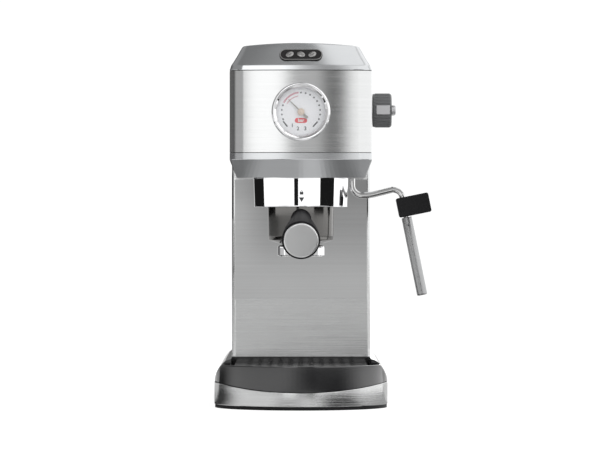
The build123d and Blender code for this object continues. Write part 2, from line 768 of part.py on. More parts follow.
# Brewing head: ring with two ramps that carry the portafilter's lugs, and a solid body above the seal.
with BuildPart() as group_head:
    with BuildSketch(Plane.XY.offset(RAMP_LOW)):
        with Locations((0, GROUP_Y)):
            Circle(GROUP_RING_R)
            Circle(LUG_R + 0.9, mode=Mode.SUBTRACT)
    extrude(amount=GASKET_TOP - RAMP_LOW)
    with BuildSketch(Plane.XY.offset(RAMP_LOW)):
        with Locations((0, GROUP_Y)):
            add(ring_sector(CUP_R + 0.6, GROUP_RING_R - 0.5, RAMP_MIDDLE, RAMP_SPAN))
            add(ring_sector(CUP_R + 0.6, GROUP_RING_R - 0.5, RAMP_MIDDLE + 180, RAMP_SPAN))
    extrude(amount=RAMP_HIGH - RAMP_LOW)
    with BuildSketch(Plane.XY.offset(GASKET_TOP)):
        with Locations((0, GROUP_Y)):
            Circle(GROUP_RING_R)
    extrude(amount=DECK_LOW - GASKET_TOP)
    with BuildSketch(Plane.XY.offset(DECK_LOW)):
        with Locations((0, GROUP_Y)):
            Circle(21.5)
    extrude(amount=DECK_HIGH - DECK_LOW)
    with BuildSketch(Plane.XY.offset(191.5)):
        with Locations((0, GROUP_Y)):
            Circle(24.0)
    extrude(amount=GASKET_TOP - 191.5)
    with BuildSketch(Plane.XY.offset(191.5)):
        with Locations((0, GROUP_Y)):
            Circle(2.2)
        with Locations((14, GROUP_Y)):
            Circle(1.5)
    extrude(amount=DECK_HIGH - 191.5, mode=Mode.SUBTRACT)

# Rubber seal above the filter's rim.
with BuildPart() as group_gasket:
    with BuildSketch(Plane.XY.offset(187.3)):
        with Locations((0, GROUP_Y)):
            Circle(31.5)
            Circle(26.6, mode=Mode.SUBTRACT)
    extrude(amount=GASKET_TOP - 187.3)

# Perforated disc that spreads the water, with its screw.
with BuildPart() as shower_screen:
    with BuildSketch(Plane.XY.offset(190.2)):
        with Locations((0, GROUP_Y)):
            Circle(25.4)
            with PolarLocations(8, 12):
                Circle(0.9, mode=Mode.SUBTRACT)
            with PolarLocations(13, 20):
                Circle(0.9, mode=Mode.SUBTRACT)
            with PolarLocations(18.5, 28):
                Circle(0.9, mode=Mode.SUBTRACT)
    extrude(amount=1.3)
    with BuildSketch(Plane.XY.offset(189.0)):
        with Locations((0, GROUP_Y)):
            Circle(3.6)
    extrude(amount=1.2)
    with BuildSketch(Plane.XY.offset(190.0)):
        with Locations((0, GROUP_Y)):
            Circle(2.0)
    extrude(amount=12)

# ------------------------------------------------------------------ portafilter
slope = radians(HANDLE_DROP)
handle_dir = (0, -cos(slope), -sin(slope))
handle_plane = Plane(origin=(0, GROUP_Y - CUP_R, HANDLE_Z), x_dir=(1, 0, 0), z_dir=handle_dir)

# Metal cup with two lugs, a funnel underneath and a stub for the handle.
with BuildPart() as portafilter_cup:
    with BuildSketch(group_plane):
        with BuildLine():
            Polyline(
                (4.0, CUP_BOTTOM - 3.2),
                (19.7, CUP_BOTTOM - 3.2),
                (CUP_R - 1.0, CUP_BOTTOM),
                (CUP_R, CUP_BOTTOM + 25),
                (CUP_R, CUP_TOP),
                (CUP_BORE_R, CUP_TOP),
                (CUP_BORE_R, CUP_BOTTOM + 4),
                (4.0, CUP_BOTTOM + 1),
                close=True,
            )
        make_face()
    revolve(axis=group_axis, revolution_arc=360)
    with BuildSketch(Plane.XY.offset(LUG_LOW)):
        with Locations((0, GROUP_Y)):
            add(ring_sector(CUP_R - 1.0, LUG_R, 0, LUG_SPAN))
            add(ring_sector(CUP_R - 1.0, LUG_R, 180, LUG_SPAN))
    extrude(amount=LUG_HIGH - LUG_LOW)
    with BuildSketch(handle_plane.offset(-1.5)):
        Circle(7.5)
    extrude(amount=7.5)

# Loose filter: a thin bowl with a rim and a perforated bottom.
with BuildPart() as filter_basket:
    with BuildSketch(Plane.XY.offset(163.0)):
        with Locations((0, GROUP_Y)):
            Circle(BASKET_R)
    extrude(amount=CUP_TOP - 163.0)
    with BuildSketch(Plane.XY.offset(CUP_TOP)):
        with Locations((0, GROUP_Y)):
            Circle(30.2)
    extrude(amount=1.0)
    with BuildSketch(Plane.XY.offset(164.0)):
        with Locations((0, GROUP_Y)):
            Circle(BASKET_INNER_R)
    extrude(amount=60, mode=Mode.SUBTRACT)
    with BuildSketch(Plane.XY.offset(163.0)):
        with Locations((0, GROUP_Y)):
            with GridLocations(6, 6, 6, 6):
                Circle(0.8)
    extrude(amount=1.0, mode=Mode.SUBTRACT)

# Chrome block under the cup with two outlets.
with BuildPart() as portafilter_spout:
    with BuildSketch(Plane.XY.offset(SPOUT_BOTTOM)):
        with Locations((0, GROUP_Y)):
            RectangleRounded(2 * SPOUT_HALF, 15, 7)
    extrude(amount=SPOUT_TOP - SPOUT_BOTTOM)
    fillet(portafilter_spout.edges().group_by(Axis.Z)[-1], 2.5)
    with BuildSketch(Plane.XY.offset(SPOUT_TOP - 1)):
        with Locations((0, GROUP_Y)):
            Circle(7.0)
    extrude(amount=CUP_BOTTOM - 3.2 - SPOUT_TOP + 1)
    with BuildSketch(Plane.XY.offset(SPOUT_BOTTOM)):
        with Locations((-12.5, GROUP_Y), (12.5, GROUP_Y)):
            Circle(4.6)
    extrude(amount=6.0, mode=Mode.SUBTRACT)
    with BuildSketch(Plane.XY.offset(SPOUT_BOTTOM + 4)):
        with Locations((0, GROUP_Y)):
            Rectangle(26, 4)
            Circle(3.4)
    extrude(amount=2.0, mode=Mode.SUBTRACT)
    with BuildSketch(Plane.XY.offset(SPOUT_BOTTOM + 4)):
        with Locations((0, GROUP_Y)):
            Circle(3.4)
    extrude(amount=20.0, mode=Mode.SUBTRACT)

HANDLE_SECTIONS = [(6.2, 9.0), (22.0, 8.6), (58.0, 11.4), (98.0, 14.2), (HANDLE_LENGTH, HANDLE_END_R)]
BOLT_R = 4.0

# Black grip that swells towards its end.
with BuildPart() as handle_grip:
    for distance, radius in HANDLE_SECTIONS:
        with BuildSketch(handle_plane.offset(distance)):
            Circle(radius)
    loft()
    with BuildSketch(handle_plane.offset(6.0)):
        Circle(BOLT_R + 0.1)
    extrude(amount=40, mode=Mode.SUBTRACT)

# Stud that ties the grip to the cup.
with BuildPart() as handle_bolt:
    with BuildSketch(handle_plane.offset(6.0)):
        Circle(BOLT_R)
    extrude(amount=38)

# Metal disc on the end of the grip.
with BuildPart() as handle_cap:
    with BuildSketch(handle_plane.offset(HANDLE_LENGTH)):
        Circle(CAP_R)
    extrude(amount=2.6)
    fillet(handle_cap.faces().sort_by(Axis.Y)[0].edges(), 1.2)

# ------------------------------------------------------------------ steam knob and valve
knob_plane = Plane(origin=(KNOB_IN, KNOB_Y, KNOB_Z), x_dir=(0, 1, 0), z_dir=(1, 0, 0))
SPINDLE_R = 3.0
VALVE_LEFT = 38.0
VALVE_RIGHT = 57.0
VALVE_LOW = 246.0
VALVE_HIGH = 268.0

# Ribbed knob with a raised bar across its face.
with BuildPart() as steam_knob:
    with BuildSketch(knob_plane):
        Circle(KNOB_R)
        with PolarLocations(KNOB_R + 0.5, KNOB_RIBS):
            Circle(1.1, mode=Mode.SUBTRACT)
    extrude(amount=KNOB_OUT - KNOB_IN - 1.5)
    with BuildSketch(knob_plane):
        Circle(KNOB_R - 0.8)
    extrude(amount=KNOB_OUT - KNOB_IN)
    with BuildSketch(knob_plane):
        RectangleRounded(2 * KNOB_R - 0.4, 8.3, 2.0)
    extrude(amount=KNOB_BAR_OUT - KNOB_IN)
    with BuildSketch(knob_plane):
        Circle(SPINDLE_R + 0.05)
    extrude(amount=12, mode=Mode.SUBTRACT)

# Turning stem of the valve.
with BuildPart() as valve_spindle:
    with BuildSketch(Plane.YZ.offset(VALVE_LEFT + 6)):
        with Locations((KNOB_Y, KNOB_Z)):
            Circle(SPINDLE_R)
    extrude(amount=KNOB_IN + 11.5 - VALVE_LEFT - 6)

# Brass valve block beside the boiler.
with BuildPart() as steam_valve:
    with BuildSketch(Plane.XY.offset(VALVE_LOW)):
        with Locations(((VALVE_LEFT + VALVE_RIGHT) / 2, KNOB_Y)):
            Rectangle(VALVE_RIGHT - VALVE_LEFT, 20)
    extrude(amount=VALVE_HIGH - VALVE_LOW)
    with BuildSketch(Plane.YZ.offset(VALVE_LEFT + 5)):
        with Locations((KNOB_Y, KNOB_Z)):
            Circle(SPINDLE_R + 0.06)
    extrude(amount=40, mode=Mode.SUBTRACT)

NUT_TOP = 213.0

# Hexagon nut in which the wand turns, with the fixed pipe that feeds it brazed on top.
with BuildPart() as steam_outlet:
    with BuildSketch(Plane.XY.offset(HEAD_BOTTOM + WALL)):
        with Locations((WAND_X, WAND_Y)):
            RegularPolygon(6.2, 6)
            Circle(PIPE_R + 0.08, mode=Mode.SUBTRACT)
    extrude(amount=NUT_TOP - HEAD_BOTTOM - WALL)
    with BuildSketch(Plane.XY.offset(NUT_TOP)):
        with Locations((WAND_X, WAND_Y)):
            Circle(4.0)
            Circle(1.6, mode=Mode.SUBTRACT)
    extrude(amount=VALVE_LOW - NUT_TOP)

# ------------------------------------------------------------------ steam wand
drop_x = WAND_DROP[0] / hypot(*WAND_DROP)
drop_z = WAND_DROP[1] / hypot(*WAND_DROP)
PIPE_END = 58.0             # how far the pipe reaches inside the sleeve
pipe_tip = (SLEEVE_TOP[0] + PIPE_END * drop_x, WAND_Y, SLEEVE_TOP[1] + PIPE_END * drop_z)
elbow_rise = 190.0 - SLEEVE_TOP[1]
elbow = (SLEEVE_TOP[0] + elbow_rise * drop_x / drop_z, WAND_Y, 190.0)

# Bent steel pipe: down from the nut, out to the side, over an elbow and down again.
steam_pipe = tube_along(
    [
        (WAND_X, WAND_Y, 211.0),
        (WAND_X, WAND_Y, 182.9),
        (61.0, WAND_Y, 183.7),
        elbow,
        pipe_tip,
    ],
    [9.0, 24.0, 7.8],
    PIPE_R,
    1.5,
)

GRIP_SHIFT = 8.1            # middle of the grip to the right of the pipe
GRIP_WIDTH = 28.5
GRIP_HEIGHT = 17.1
GRIP_DEPTH = 16.0
GRIP_UP = 8.9               # middle of the grip above the sleeve
grip_middle = Vector(
    SLEEVE_TOP[0] - GRIP_UP * drop_x - GRIP_SHIFT * drop_z,
    WAND_Y,
    SLEEVE_TOP[1] - GRIP_UP * drop_z + GRIP_SHIFT * drop_x,
)
wand_plane = Plane(origin=(SLEEVE_TOP[0], WAND_Y, SLEEVE_TOP[1]), x_dir=(0, 1, 0), z_dir=(drop_x, 0, drop_z))
grip_plane = Plane(origin=grip_middle, x_dir=(-drop_z, 0, drop_x), z_dir=(0, -1, 0))

# Black thumb grip on the pipe.
with BuildPart() as wand_grip:
    with BuildSketch(grip_plane.offset(-GRIP_DEPTH / 2)):
        RectangleRounded(GRIP_WIDTH, GRIP_HEIGHT, 1.6)
    extrude(amount=GRIP_DEPTH)
    with BuildSketch(wand_plane.offset(-40)):
        Circle(PIPE_R + 0.05)
    extrude(amount=60, mode=Mode.SUBTRACT)

# Steel frothing sleeve, closed at its tip but for the outlet, with an air hole near the top.
with BuildPart() as froth_sleeve:
    with BuildSketch(wand_plane.offset(0.4)):
        Circle(SLEEVE_R)
    extrude(amount=SLEEVE_LENGTH)
    fillet(froth_sleeve.edges().group_by(Axis.Z)[0], 1.2)
    with BuildSketch(wand_plane.offset(0.4)):
        Circle(3.3)
    extrude(amount=SLEEVE_LENGTH - 3, mode=Mode.SUBTRACT)
    with BuildSketch(wand_plane.offset(0.4)):
        Circle(1.4)
    extrude(amount=SLEEVE_LENGTH + 2, mode=Mode.SUBTRACT)
    with BuildSketch(Plane(origin=wand_plane.offset(7).origin, x_dir=(1, 0, 0), z_dir=(0, -1, 0))):
        Circle(0.9)
    extrude(amount=6, mode=Mode.SUBTRACT)

# ------------------------------------------------------------------ boiler
BOILER_WALL = 3.0
BOILER_BOLTS = 6

# Cast pot above the brewing head.
with BuildPart() as boiler_body:
    with BuildSketch(Plane.XY.offset(DECK_HIGH)):
        with Locations((0, BOILER_Y)):
            Circle(BOILER_R)
    extrude(amount=BOILER_TOP - DECK_HIGH)
    with BuildSketch(Plane.XY.offset(BOILER_TOP - 4)):
        with Locations((0, BOILER_Y)):
            Circle(BOILER_FLANGE_R)
            with PolarLocations(BOILER_FLANGE_R - 2.6, BOILER_BOLTS, start_angle=30):
                Circle(4.4)
    extrude(amount=4)
    with BuildSketch(Plane.XY.offset(DECK_HIGH + 4)):
        with Locations((0, BOILER_Y)):
            Circle(BOILER_R - BOILER_WALL - 3)
    extrude(amount=60, mode=Mode.SUBTRACT)
    with BuildSketch(Plane.XY.offset(BOILER_TOP - 4)):
        with Locations((0, BOILER_Y)):
            with PolarLocations(BOILER_FLANGE_R - 2.6, BOILER_BOLTS, start_angle=30):
                Circle(1.7)
    extrude(amount=4, mode=Mode.SUBTRACT)
    with BuildSketch(Plane.XY.offset(DECK_HIGH)):
        with Locations((0, GROUP_Y)):
            Circle(1.5)
    extrude(amount=4, mode=Mode.SUBTRACT)

ELEMENT_X = 17.0
ELEMENT_R = 3.2

# Lid of the pot.
with BuildPart() as boiler_cap:
    with BuildSketch(Plane.XY.offset(BOILER_TOP)):
        with Locations((0, BOILER_Y)):
            Circle(BOILER_FLANGE_R)
            with PolarLocations(BOILER_FLANGE_R - 2.6, BOILER_BOLTS, start_angle=30):
                Circle(4.4)
            with PolarLocations(BOILER_FLANGE_R - 2.6, BOILER_BOLTS, start_angle=30):
                Circle(1.7, mode=Mode.SUBTRACT)
            with Locations((-ELEMENT_X, 0), (ELEMENT_X, 0)):
                Circle(ELEMENT_R + 0.1, mode=Mode.SUBTRACT)
    extrude(amount=CAP_TOP - BOILER_TOP)

# Six bolts through both flanges.
with BuildPart() as boiler_bolts:
    with BuildSketch(Plane.XY.offset(BOILER_TOP - 4)):
        with Locations((0, BOILER_Y)):
            with PolarLocations(BOILER_FLANGE_R - 2.6, BOILER_BOLTS, start_angle=30):
                Circle(1.6)
    extrude(amount=CAP_TOP - BOILER_TOP + 4)
    with BuildSketch(Plane.XY.offset(CAP_TOP)):
        with Locations((0, BOILER_Y)):
            with PolarLocations(BOILER_FLANGE_R - 2.6, BOILER_BOLTS, start_angle=30):
                RegularPolygon(3.2, 6)
    extrude(amount=2.2)

# Heating tube: a ring in the water with two legs through the lid.
with BuildPart() as heating_element:
    with Locations((0, BOILER_Y, 224)):
        Torus(ELEMENT_X, ELEMENT_R)
    with BuildSketch(Plane.XY.offset(224)):
        with Locations((-ELEMENT_X, BOILER_Y), (ELEMENT_X, BOILER_Y)):
            Circle(ELEMENT_R)
    extrude(amount=CAP_TOP + 5 - 224)

# Two round thermostats clipped to the lid.
with BuildPart() as thermostats:
    with BuildSketch(Plane.XY.offset(CAP_TOP)):
        with Locations((0, BOILER_Y + 18), (17, BOILER_Y + 17)):
            Circle(7.5)
    extrude(amount=7)

# ------------------------------------------------------------------ pump
PUMP_COIL_LOW = 105.0
PUMP_COIL_HIGH = 147.0
MOUNT_HEIGHT = 8.0

# Slim piston pump, upright in the tower.
with BuildPart() as pump_body:
    with BuildSketch(Plane.XY.offset(PUMP_LOW)):
        with Locations((PUMP_X, PUMP_Y)):
            Circle(PUMP_R)
    extrude(amount=PUMP_HIGH - PUMP_LOW)
    chamfer(pump_body.edges().group_by(Axis.Z)[-1], 4)
    chamfer(pump_body.edges().group_by(Axis.Z)[0], 4)

# Moulded magnet coil round the pump.
with BuildPart() as pump_coil:
    with BuildSketch(Plane.XY.offset(PUMP_COIL_LOW)):
        with Locations((PUMP_X, PUMP_Y)):
            RectangleRounded(50, 44, 4)
            Circle(PUMP_R + 0.1, mode=Mode.SUBTRACT)
    extrude(amount=PUMP_COIL_HIGH - PUMP_COIL_LOW)

# Rubber arms that hold the pump off the frame.
with BuildPart() as pump_mounts:
    for low in (PUMP_LOW + 8, PUMP_HIGH - 16):
        with BuildSketch(Plane.XY.offset(low)):
            with Locations((PUMP_X, PUMP_Y)):
                Circle(PUMP_R + 4)
            with Locations((PUMP_X, (PUMP_Y + FRAME_BACK - FRAME_SHEET) / 2)):
                Rectangle(14, FRAME_BACK - FRAME_SHEET - PUMP_Y)
            with Locations((PUMP_X, PUMP_Y)):
                Circle(PUMP_R + 0.1, mode=Mode.SUBTRACT)
        extrude(amount=MOUNT_HEIGHT)

# Soft hose from the tank's socket to the pump.
suction_hose = tube_along(
    [
        (0, TANK_VALVE_Y, DECK_Z - 0.5),
        (0, TANK_VALVE_Y, 27.0),
        (PUMP_X, PUMP_Y, 27.0),
        (PUMP_X, PUMP_Y, PUMP_LOW),
    ],
    12.0,
    4.0,
)

# Pressure hose from the pump to the boiler.
pressure_hose = tube_along(
    [
        (PUMP_X, PUMP_Y, PUMP_HIGH),
        (PUMP_X, PUMP_Y, 281.0),
        (PUMP_X, BOILER_Y + 12, 281.0),
        (PUMP_X, BOILER_Y + 12, CAP_TOP),
    ],
    13.0,
    3.2,
)

# Control board on stand-offs against the frame.
with BuildPart() as circuit_board:
    with BuildSketch(Plane.XZ.offset(-46)):
        with Locations((26, 150)):
            Rectangle(44, 80)
    extrude(amount=1.6)
    with BuildSketch(Plane.XZ.offset(-52)):
        with Locations((26, 150)):
            with GridLocations(36, 70, 2, 2):
                Circle(2.2)
    extrude(amount=6)
    with BuildSketch(Plane.XZ.offset(-44.4)):
        with Locations((18, 165)):
            Rectangle(18, 24)
        with Locations((36, 130)):
            Rectangle(14, 20)
    extrude(amount=12)

# ------------------------------------------------------------------ water tank
SEAT_TOP = 45.5

# Raised seat and socket on the rear deck.
with BuildPart() as tank_seat:
    with BuildSketch(Plane.XY.offset(DECK_Z)):
        with Locations((0, TANK_VALVE_Y)):
            RectangleRounded(84, 64, 10)
            Circle(6.6, mode=Mode.SUBTRACT)
    extrude(amount=SEAT_TOP - DECK_Z)

# Smoky open-topped tank with two lugs for the lid.
with BuildPart() as tank_body:
    with BuildSketch(Plane.XY.offset(TANK_BOTTOM)):
        add(tank_plan(0))
    extrude(amount=TANK_TOP - TANK_BOTTOM)
    with BuildSketch(Plane.XY.offset(TANK_BOTTOM + WALL)):
        add(tank_plan(TANK_WALL))
    extrude(amount=FAR, mode=Mode.SUBTRACT)
    with BuildSketch(Plane.XY.offset(TANK_BOTTOM)):
        with Locations((0, TANK_VALVE_Y)):
            Circle(6.0)
    extrude(amount=WALL, mode=Mode.SUBTRACT)
    for lug_x in (-37, 31):
        with BuildSketch(Plane.YZ.offset(lug_x)):
            with Locations((TANK_REAR + 0.6, LID_HINGE_Z - 4)):
                Rectangle(2.4, 8)
            with Locations((LID_HINGE_Y, LID_HINGE_Z)):
                Circle(3.0)
        extrude(amount=6)
    with BuildSketch(Plane.YZ.offset(-38)):
        with Locations((LID_HINGE_Y, LID_HINGE_Z)):
            Circle(1.58)
    extrude(amount=76, mode=Mode.SUBTRACT)

# Spring valve in the tank's floor; it opens in the socket of the seat.
with BuildPart() as tank_valve:
    with BuildSketch(Plane.XY.offset(DECK_Z + 1)):
        with Locations((0, TANK_VALVE_Y)):
            Circle(5.9)
    extrude(amount=TANK_BOTTOM + WALL - DECK_Z - 1)
    with BuildSketch(Plane.XY.offset(TANK_BOTTOM + WALL)):
        with Locations((0, TANK_VALVE_Y)):
            Circle(9.0)
    extrude(amount=4)

LID_SHEET = 4.0

# Flap on the tank, hinged along its rear edge on two short pins.
with BuildPart() as tank_lid:
    with BuildSketch(Plane.XY.offset(TANK_TOP + 0.4)):
        add(tank_plan(0.5))
        with Locations((-34, TANK_REAR), (34, TANK_REAR)):
            Rectangle(8, 10, mode=Mode.SUBTRACT)
    extrude(amount=LID_SHEET)
    with BuildSketch(Plane.XY.offset(TANK_TOP + 0.4)):
        with Locations((0, (TANK_REAR - 1 + LID_HINGE_Y) / 2)):
            Rectangle(60, LID_HINGE_Y - TANK_REAR + 1)
    extrude(amount=2.2)
    with BuildSketch(Plane.YZ.offset(-30)):
        with Locations((LID_HINGE_Y, LID_HINGE_Z)):
            Circle(2.2)
    extrude(amount=60)
    with BuildSketch(Plane.YZ.offset(-36.5)):
        with Locations((LID_HINGE_Y, LID_HINGE_Z)):
            Circle(1.5)
    extrude(amount=73)

# ------------------------------------------------------------------ write every piece
PIECES = {
    "base_plate": base_plate,
    "feet": feet,
    "base_screws": base_screws,
    "base_band": base_band,
    "base_housing": base_housing,
    "cord_gland": cord_gland,
    "tray_front": tray_front,
    "drip_tray": drip_tray,
    "drip_grid": drip_grid,
    "tower_panel": tower_panel,
    "rear_cover": rear_cover,
    "chassis": chassis,
    "head_bottom_cover": head_bottom_cover,
    "head_wrap": head_wrap,
    "head_top_cover": head_top_cover,
    "badge_plate": badge_plate,
    "cup_plate": cup_plate,
    "control_strip": control_strip,
    "button_power": button_power,
    "button_coffee": button_coffee,
    "button_steam": button_steam,
    "switch_board": switch_board,
    "gauge_bezel": gauge_bezel,
    "gauge_case": gauge_case,
    "gauge_dial": gauge_dial,
    "gauge_glass": gauge_glass,
    "gauge_needle": gauge_needle,
    "gauge_capillary": gauge_capillary,
    "group_shroud": group_shroud,
    "group_head": group_head,
    "group_gasket": group_gasket,
    "shower_screen": shower_screen,
    "portafilter_cup": portafilter_cup,
    "filter_basket": filter_basket,
    "portafilter_spout": portafilter_spout,
    "handle_grip": handle_grip,
    "handle_bolt": handle_bolt,
    "handle_cap": handle_cap,
    "steam_knob": steam_knob,
    "valve_spindle": valve_spindle,
    "steam_valve": steam_valve,
    "steam_outlet": steam_outlet,
    "steam_pipe": steam_pipe,
    "wand_grip": wand_grip,
    "froth_sleeve": froth_sleeve,
    "boiler_body": boiler_body,
    "boiler_cap": boiler_cap,
    "boiler_bolts": boiler_bolts,
    "heating_element": heating_element,
    "thermostats": thermostats,
    "pump_body": pump_body,
    "pump_coil": pump_coil,
    "pump_mounts": pump_mounts,
    "suction_hose": suction_hose,
    "pressure_hose": pressure_hose,
    "circuit_board": circuit_board,
    "tank_seat": tank_seat,
    "tank_body": tank_body,
    "tank_valve": tank_valve,
    "tank_lid": tank_lid,
}

for label, piece in PIECES.items():
    piece.part.label = label
    export_step(piece.part, f"parts/{label}.step")
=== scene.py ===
# %% [markdown]
# # A slim espresso machine
#
# The machine is a folded steel tower on a moulded base. A head with bevelled covers carries the brewing
# group, the pressure gauge and the steam tap. Each cell below makes one group of pieces. Lengths are in
# millimetres until a mesh is made, and they agree with the mechanical model that is loaded first.
#
# **Front** is -Y, **right** is +X, **up** is +Z, and the origin is under the middle of the base.

import json
import math

import bmesh
import bpy
import numpy as np
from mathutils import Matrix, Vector


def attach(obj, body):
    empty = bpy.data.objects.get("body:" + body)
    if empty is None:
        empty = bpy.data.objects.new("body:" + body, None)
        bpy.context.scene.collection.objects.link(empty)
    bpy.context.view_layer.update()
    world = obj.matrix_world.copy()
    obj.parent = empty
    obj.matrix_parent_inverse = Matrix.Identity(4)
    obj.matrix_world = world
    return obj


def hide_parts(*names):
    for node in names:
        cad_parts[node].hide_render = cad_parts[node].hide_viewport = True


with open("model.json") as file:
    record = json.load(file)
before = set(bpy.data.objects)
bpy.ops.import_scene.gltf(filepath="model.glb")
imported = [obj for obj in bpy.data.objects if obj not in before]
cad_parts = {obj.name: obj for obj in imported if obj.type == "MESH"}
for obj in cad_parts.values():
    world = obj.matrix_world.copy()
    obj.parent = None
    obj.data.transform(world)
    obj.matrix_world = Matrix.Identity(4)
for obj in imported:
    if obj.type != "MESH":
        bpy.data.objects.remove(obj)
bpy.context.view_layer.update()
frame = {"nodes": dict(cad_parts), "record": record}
nodes = frame["nodes"]
slot_of = {row["node"]: row["material_slot"] for row in frame["record"]["subparts"]}
MM = 0.001

# %% [markdown]
# ## A small language for finishes
#
# A finish is written as a formula. `Wire` holds one output of a shader node and knows arithmetic, so
# `0.2 + 0.1 * noise` makes the nodes that it needs.

# %% Shader arithmetic


def arithmetic(operation, swapped=False):
    """A method of Wire for one sign of arithmetic; swapped when the Wire stands on the right."""

    def method(self, other):
        return self.math(operation, other, self) if swapped else self.math(operation, self, other)

    return method


class Wire:
    """One output of a shader node, with arithmetic."""

    def __init__(self, tree, socket):
        self.tree = tree
        self.socket = socket

    def make(self, kind, settings, inputs, output=0):
        """A new node in the same tree."""
        return make_node(self.tree, kind, settings, inputs, output)

    def math(self, operation, *values):
        """One calculation on numbers or Wires."""
        return self.make("ShaderNodeMath", {"operation": operation}, dict(enumerate(values)))

    __add__, __radd__ = arithmetic("ADD"), arithmetic("ADD", True)
    __sub__, __rsub__ = arithmetic("SUBTRACT"), arithmetic("SUBTRACT", True)
    __mul__, __rmul__ = arithmetic("MULTIPLY"), arithmetic("MULTIPLY", True)
    __truediv__, __rtruediv__ = arithmetic("DIVIDE"), arithmetic("DIVIDE", True)
    __pow__ = arithmetic("POWER")

    def parts(self):
        """The three coordinates of a vector."""
        split = self.make("ShaderNodeSeparateXYZ", {}, {0: self})
        return [Wire(self.tree, split.socket.node.outputs[k]) for k in range(3)]

    def step(self, low, high):
        """Rises smoothly from 0 at low to 1 at high."""
        inputs = {"Value": self, "From Min": low, "From Max": high}
        return self.make("ShaderNodeMapRange", {"interpolation_type": "SMOOTHSTEP"}, inputs)

    def band(self, low, high, soft):
        """1 between low and high, 0 outside, with edges that are soft wide on each side."""
        return self.step(low - soft, low + soft) - self.step(high - soft, high + soft)


def make_node(tree, kind, settings, inputs, output=0):
    """Adds one node: its settings first, then a number, colour or Wire on each named input."""
    made = tree.nodes.new(kind)
    for key, value in settings.items():
        setattr(made, key, value)
    for key, value in inputs.items():
        if isinstance(value, Wire):
            tree.links.new(value.socket, made.inputs[key])
        else:
            made.inputs[key].default_value = value
    return Wire(tree, made.outputs[output]) if len(made.outputs) else None


def noise_at(place, stretch, detail=2.0, rough=0.5):
    """Soft noise from 0 to 1 whose cells per metre along X, Y and Z are stretch."""
    moved = place.make("ShaderNodeVectorMath", {"operation": "MULTIPLY"}, {0: place, 1: stretch})
    inputs = {"Vector": moved, "Scale": 1.0, "Detail": detail, "Roughness": rough}
    return place.make("ShaderNodeTexNoise", {}, inputs)


def tint(dark, light, amount, like):
    """A colour between dark and light."""
    inputs = {"Factor": amount, 6: (*dark, 1.0), 7: (*light, 1.0)}
    return like.make("ShaderNodeMix", {"data_type": "RGBA"}, inputs, 2)


FINISHES = {}


def finish(name, colour, roughness, metallic, grain, depth, mottle=0.08, wear=0.06, coat=0.0, **more):
    """One finish: colour and roughness wander slowly, and a fine grain stands in relief.

    grain is cells per metre along X, Y and Z, so unequal numbers give a brushed surface; one number
    stands for three equal ones.
    """
    grain = grain if isinstance(grain, tuple) else (grain,) * 3
    material = bpy.data.materials.new(name)
    material.use_nodes = True
    tree = material.node_tree
    tree.nodes.clear()
    place = make_node(tree, "ShaderNodeTexCoord", {}, {}, 3)
    cloud = noise_at(place, (22, 22, 22), 3.0)
    fine = noise_at(place, grain, 2.0, 0.6)
    streak = noise_at(place, tuple(0.16 * g for g in grain), 2.0, 0.6)
    amount = 0.35 * cloud + 0.65 * streak
    colour = np.array(colour)
    shade = tint(colour * (1 - mottle), np.minimum(colour * (1 + mottle), 1.0), amount, place)
    rough = roughness + wear * (cloud - 0.5) + wear * (streak - 0.5)
    bump_inputs = {"Strength": 1.0, "Distance": depth, "Height": fine}
    bump = place.make("ShaderNodeBump", {}, bump_inputs)
    inputs = {"Base Color": shade, "Roughness": rough, "Normal": bump}
    inputs.update({"Metallic": metallic, "Coat Weight": coat, "Coat Roughness": 0.06})
    inputs.update(more)
    surface = place.make("ShaderNodeBsdfPrincipled", {}, inputs)
    make_node(tree, "ShaderNodeOutputMaterial", {}, {"Surface": surface})
    FINISHES[name] = material
    return material


# %% [markdown]
# ## Finishes
#
# Sheet steel is brushed along its length: the scratches are long across the front and fine from top to
# bottom, so reflections smear up and down only. Covers are satin, the tray front and plaque glossy dark
# plastic, the group ring polished chrome.

# %% Metal finishes
finish("brushed_steel", (0.60, 0.605, 0.605), 0.11, 1.0, (9, 9, 2600), 0.000022, 0.09)
finish("satin_steel", (0.55, 0.56, 0.57), 0.17, 1.0, (14, 900, 1500), 0.000006, 0.05)
finish("chrome", (0.86, 0.86, 0.87), 0.035, 1.0, 60, 0.000004, 0.02, 0.02)
finish("dark_chrome", (0.15, 0.147, 0.142), 0.12, 1.0, 60, 0.000004, 0.05, 0.04)
finish("steel", (0.66, 0.66, 0.66), 0.07, 1.0, 300, 0.000004, 0.05, 0.06)
finish("zinc_frame", (0.50, 0.51, 0.52), 0.35, 1.0, 160, 0.00002, 0.2, 0.12)
finish("aluminium", (0.62, 0.62, 0.63), 0.4, 1.0, 500, 0.00003, 0.08, 0.1)
finish("brass", (0.66, 0.50, 0.24), 0.25, 1.0, (700, 40, 40), 0.00001, 0.1, 0.1)
finish("handle_cap", (0.70, 0.705, 0.705), 0.3, 1.0, 900, 0.000006, 0.03)
finish("satin_sleeve", (0.36, 0.363, 0.366), 0.30, 1.0, 260, 0.00001, 0.06)
finish("grid_steel", (0.66, 0.66, 0.66), 0.10, 1.0, 300, 0.0000001, 0.06, 0.03)
finish("handle_black", (0.016, 0.016, 0.017), 0.5, 0.0, 1700, 0.00001, 0.15,
       **{"Specular IOR Level": 0.03})
finish("button", (0.70, 0.70, 0.72), 0.22, 1.0, 900, 0.000004, 0.03)

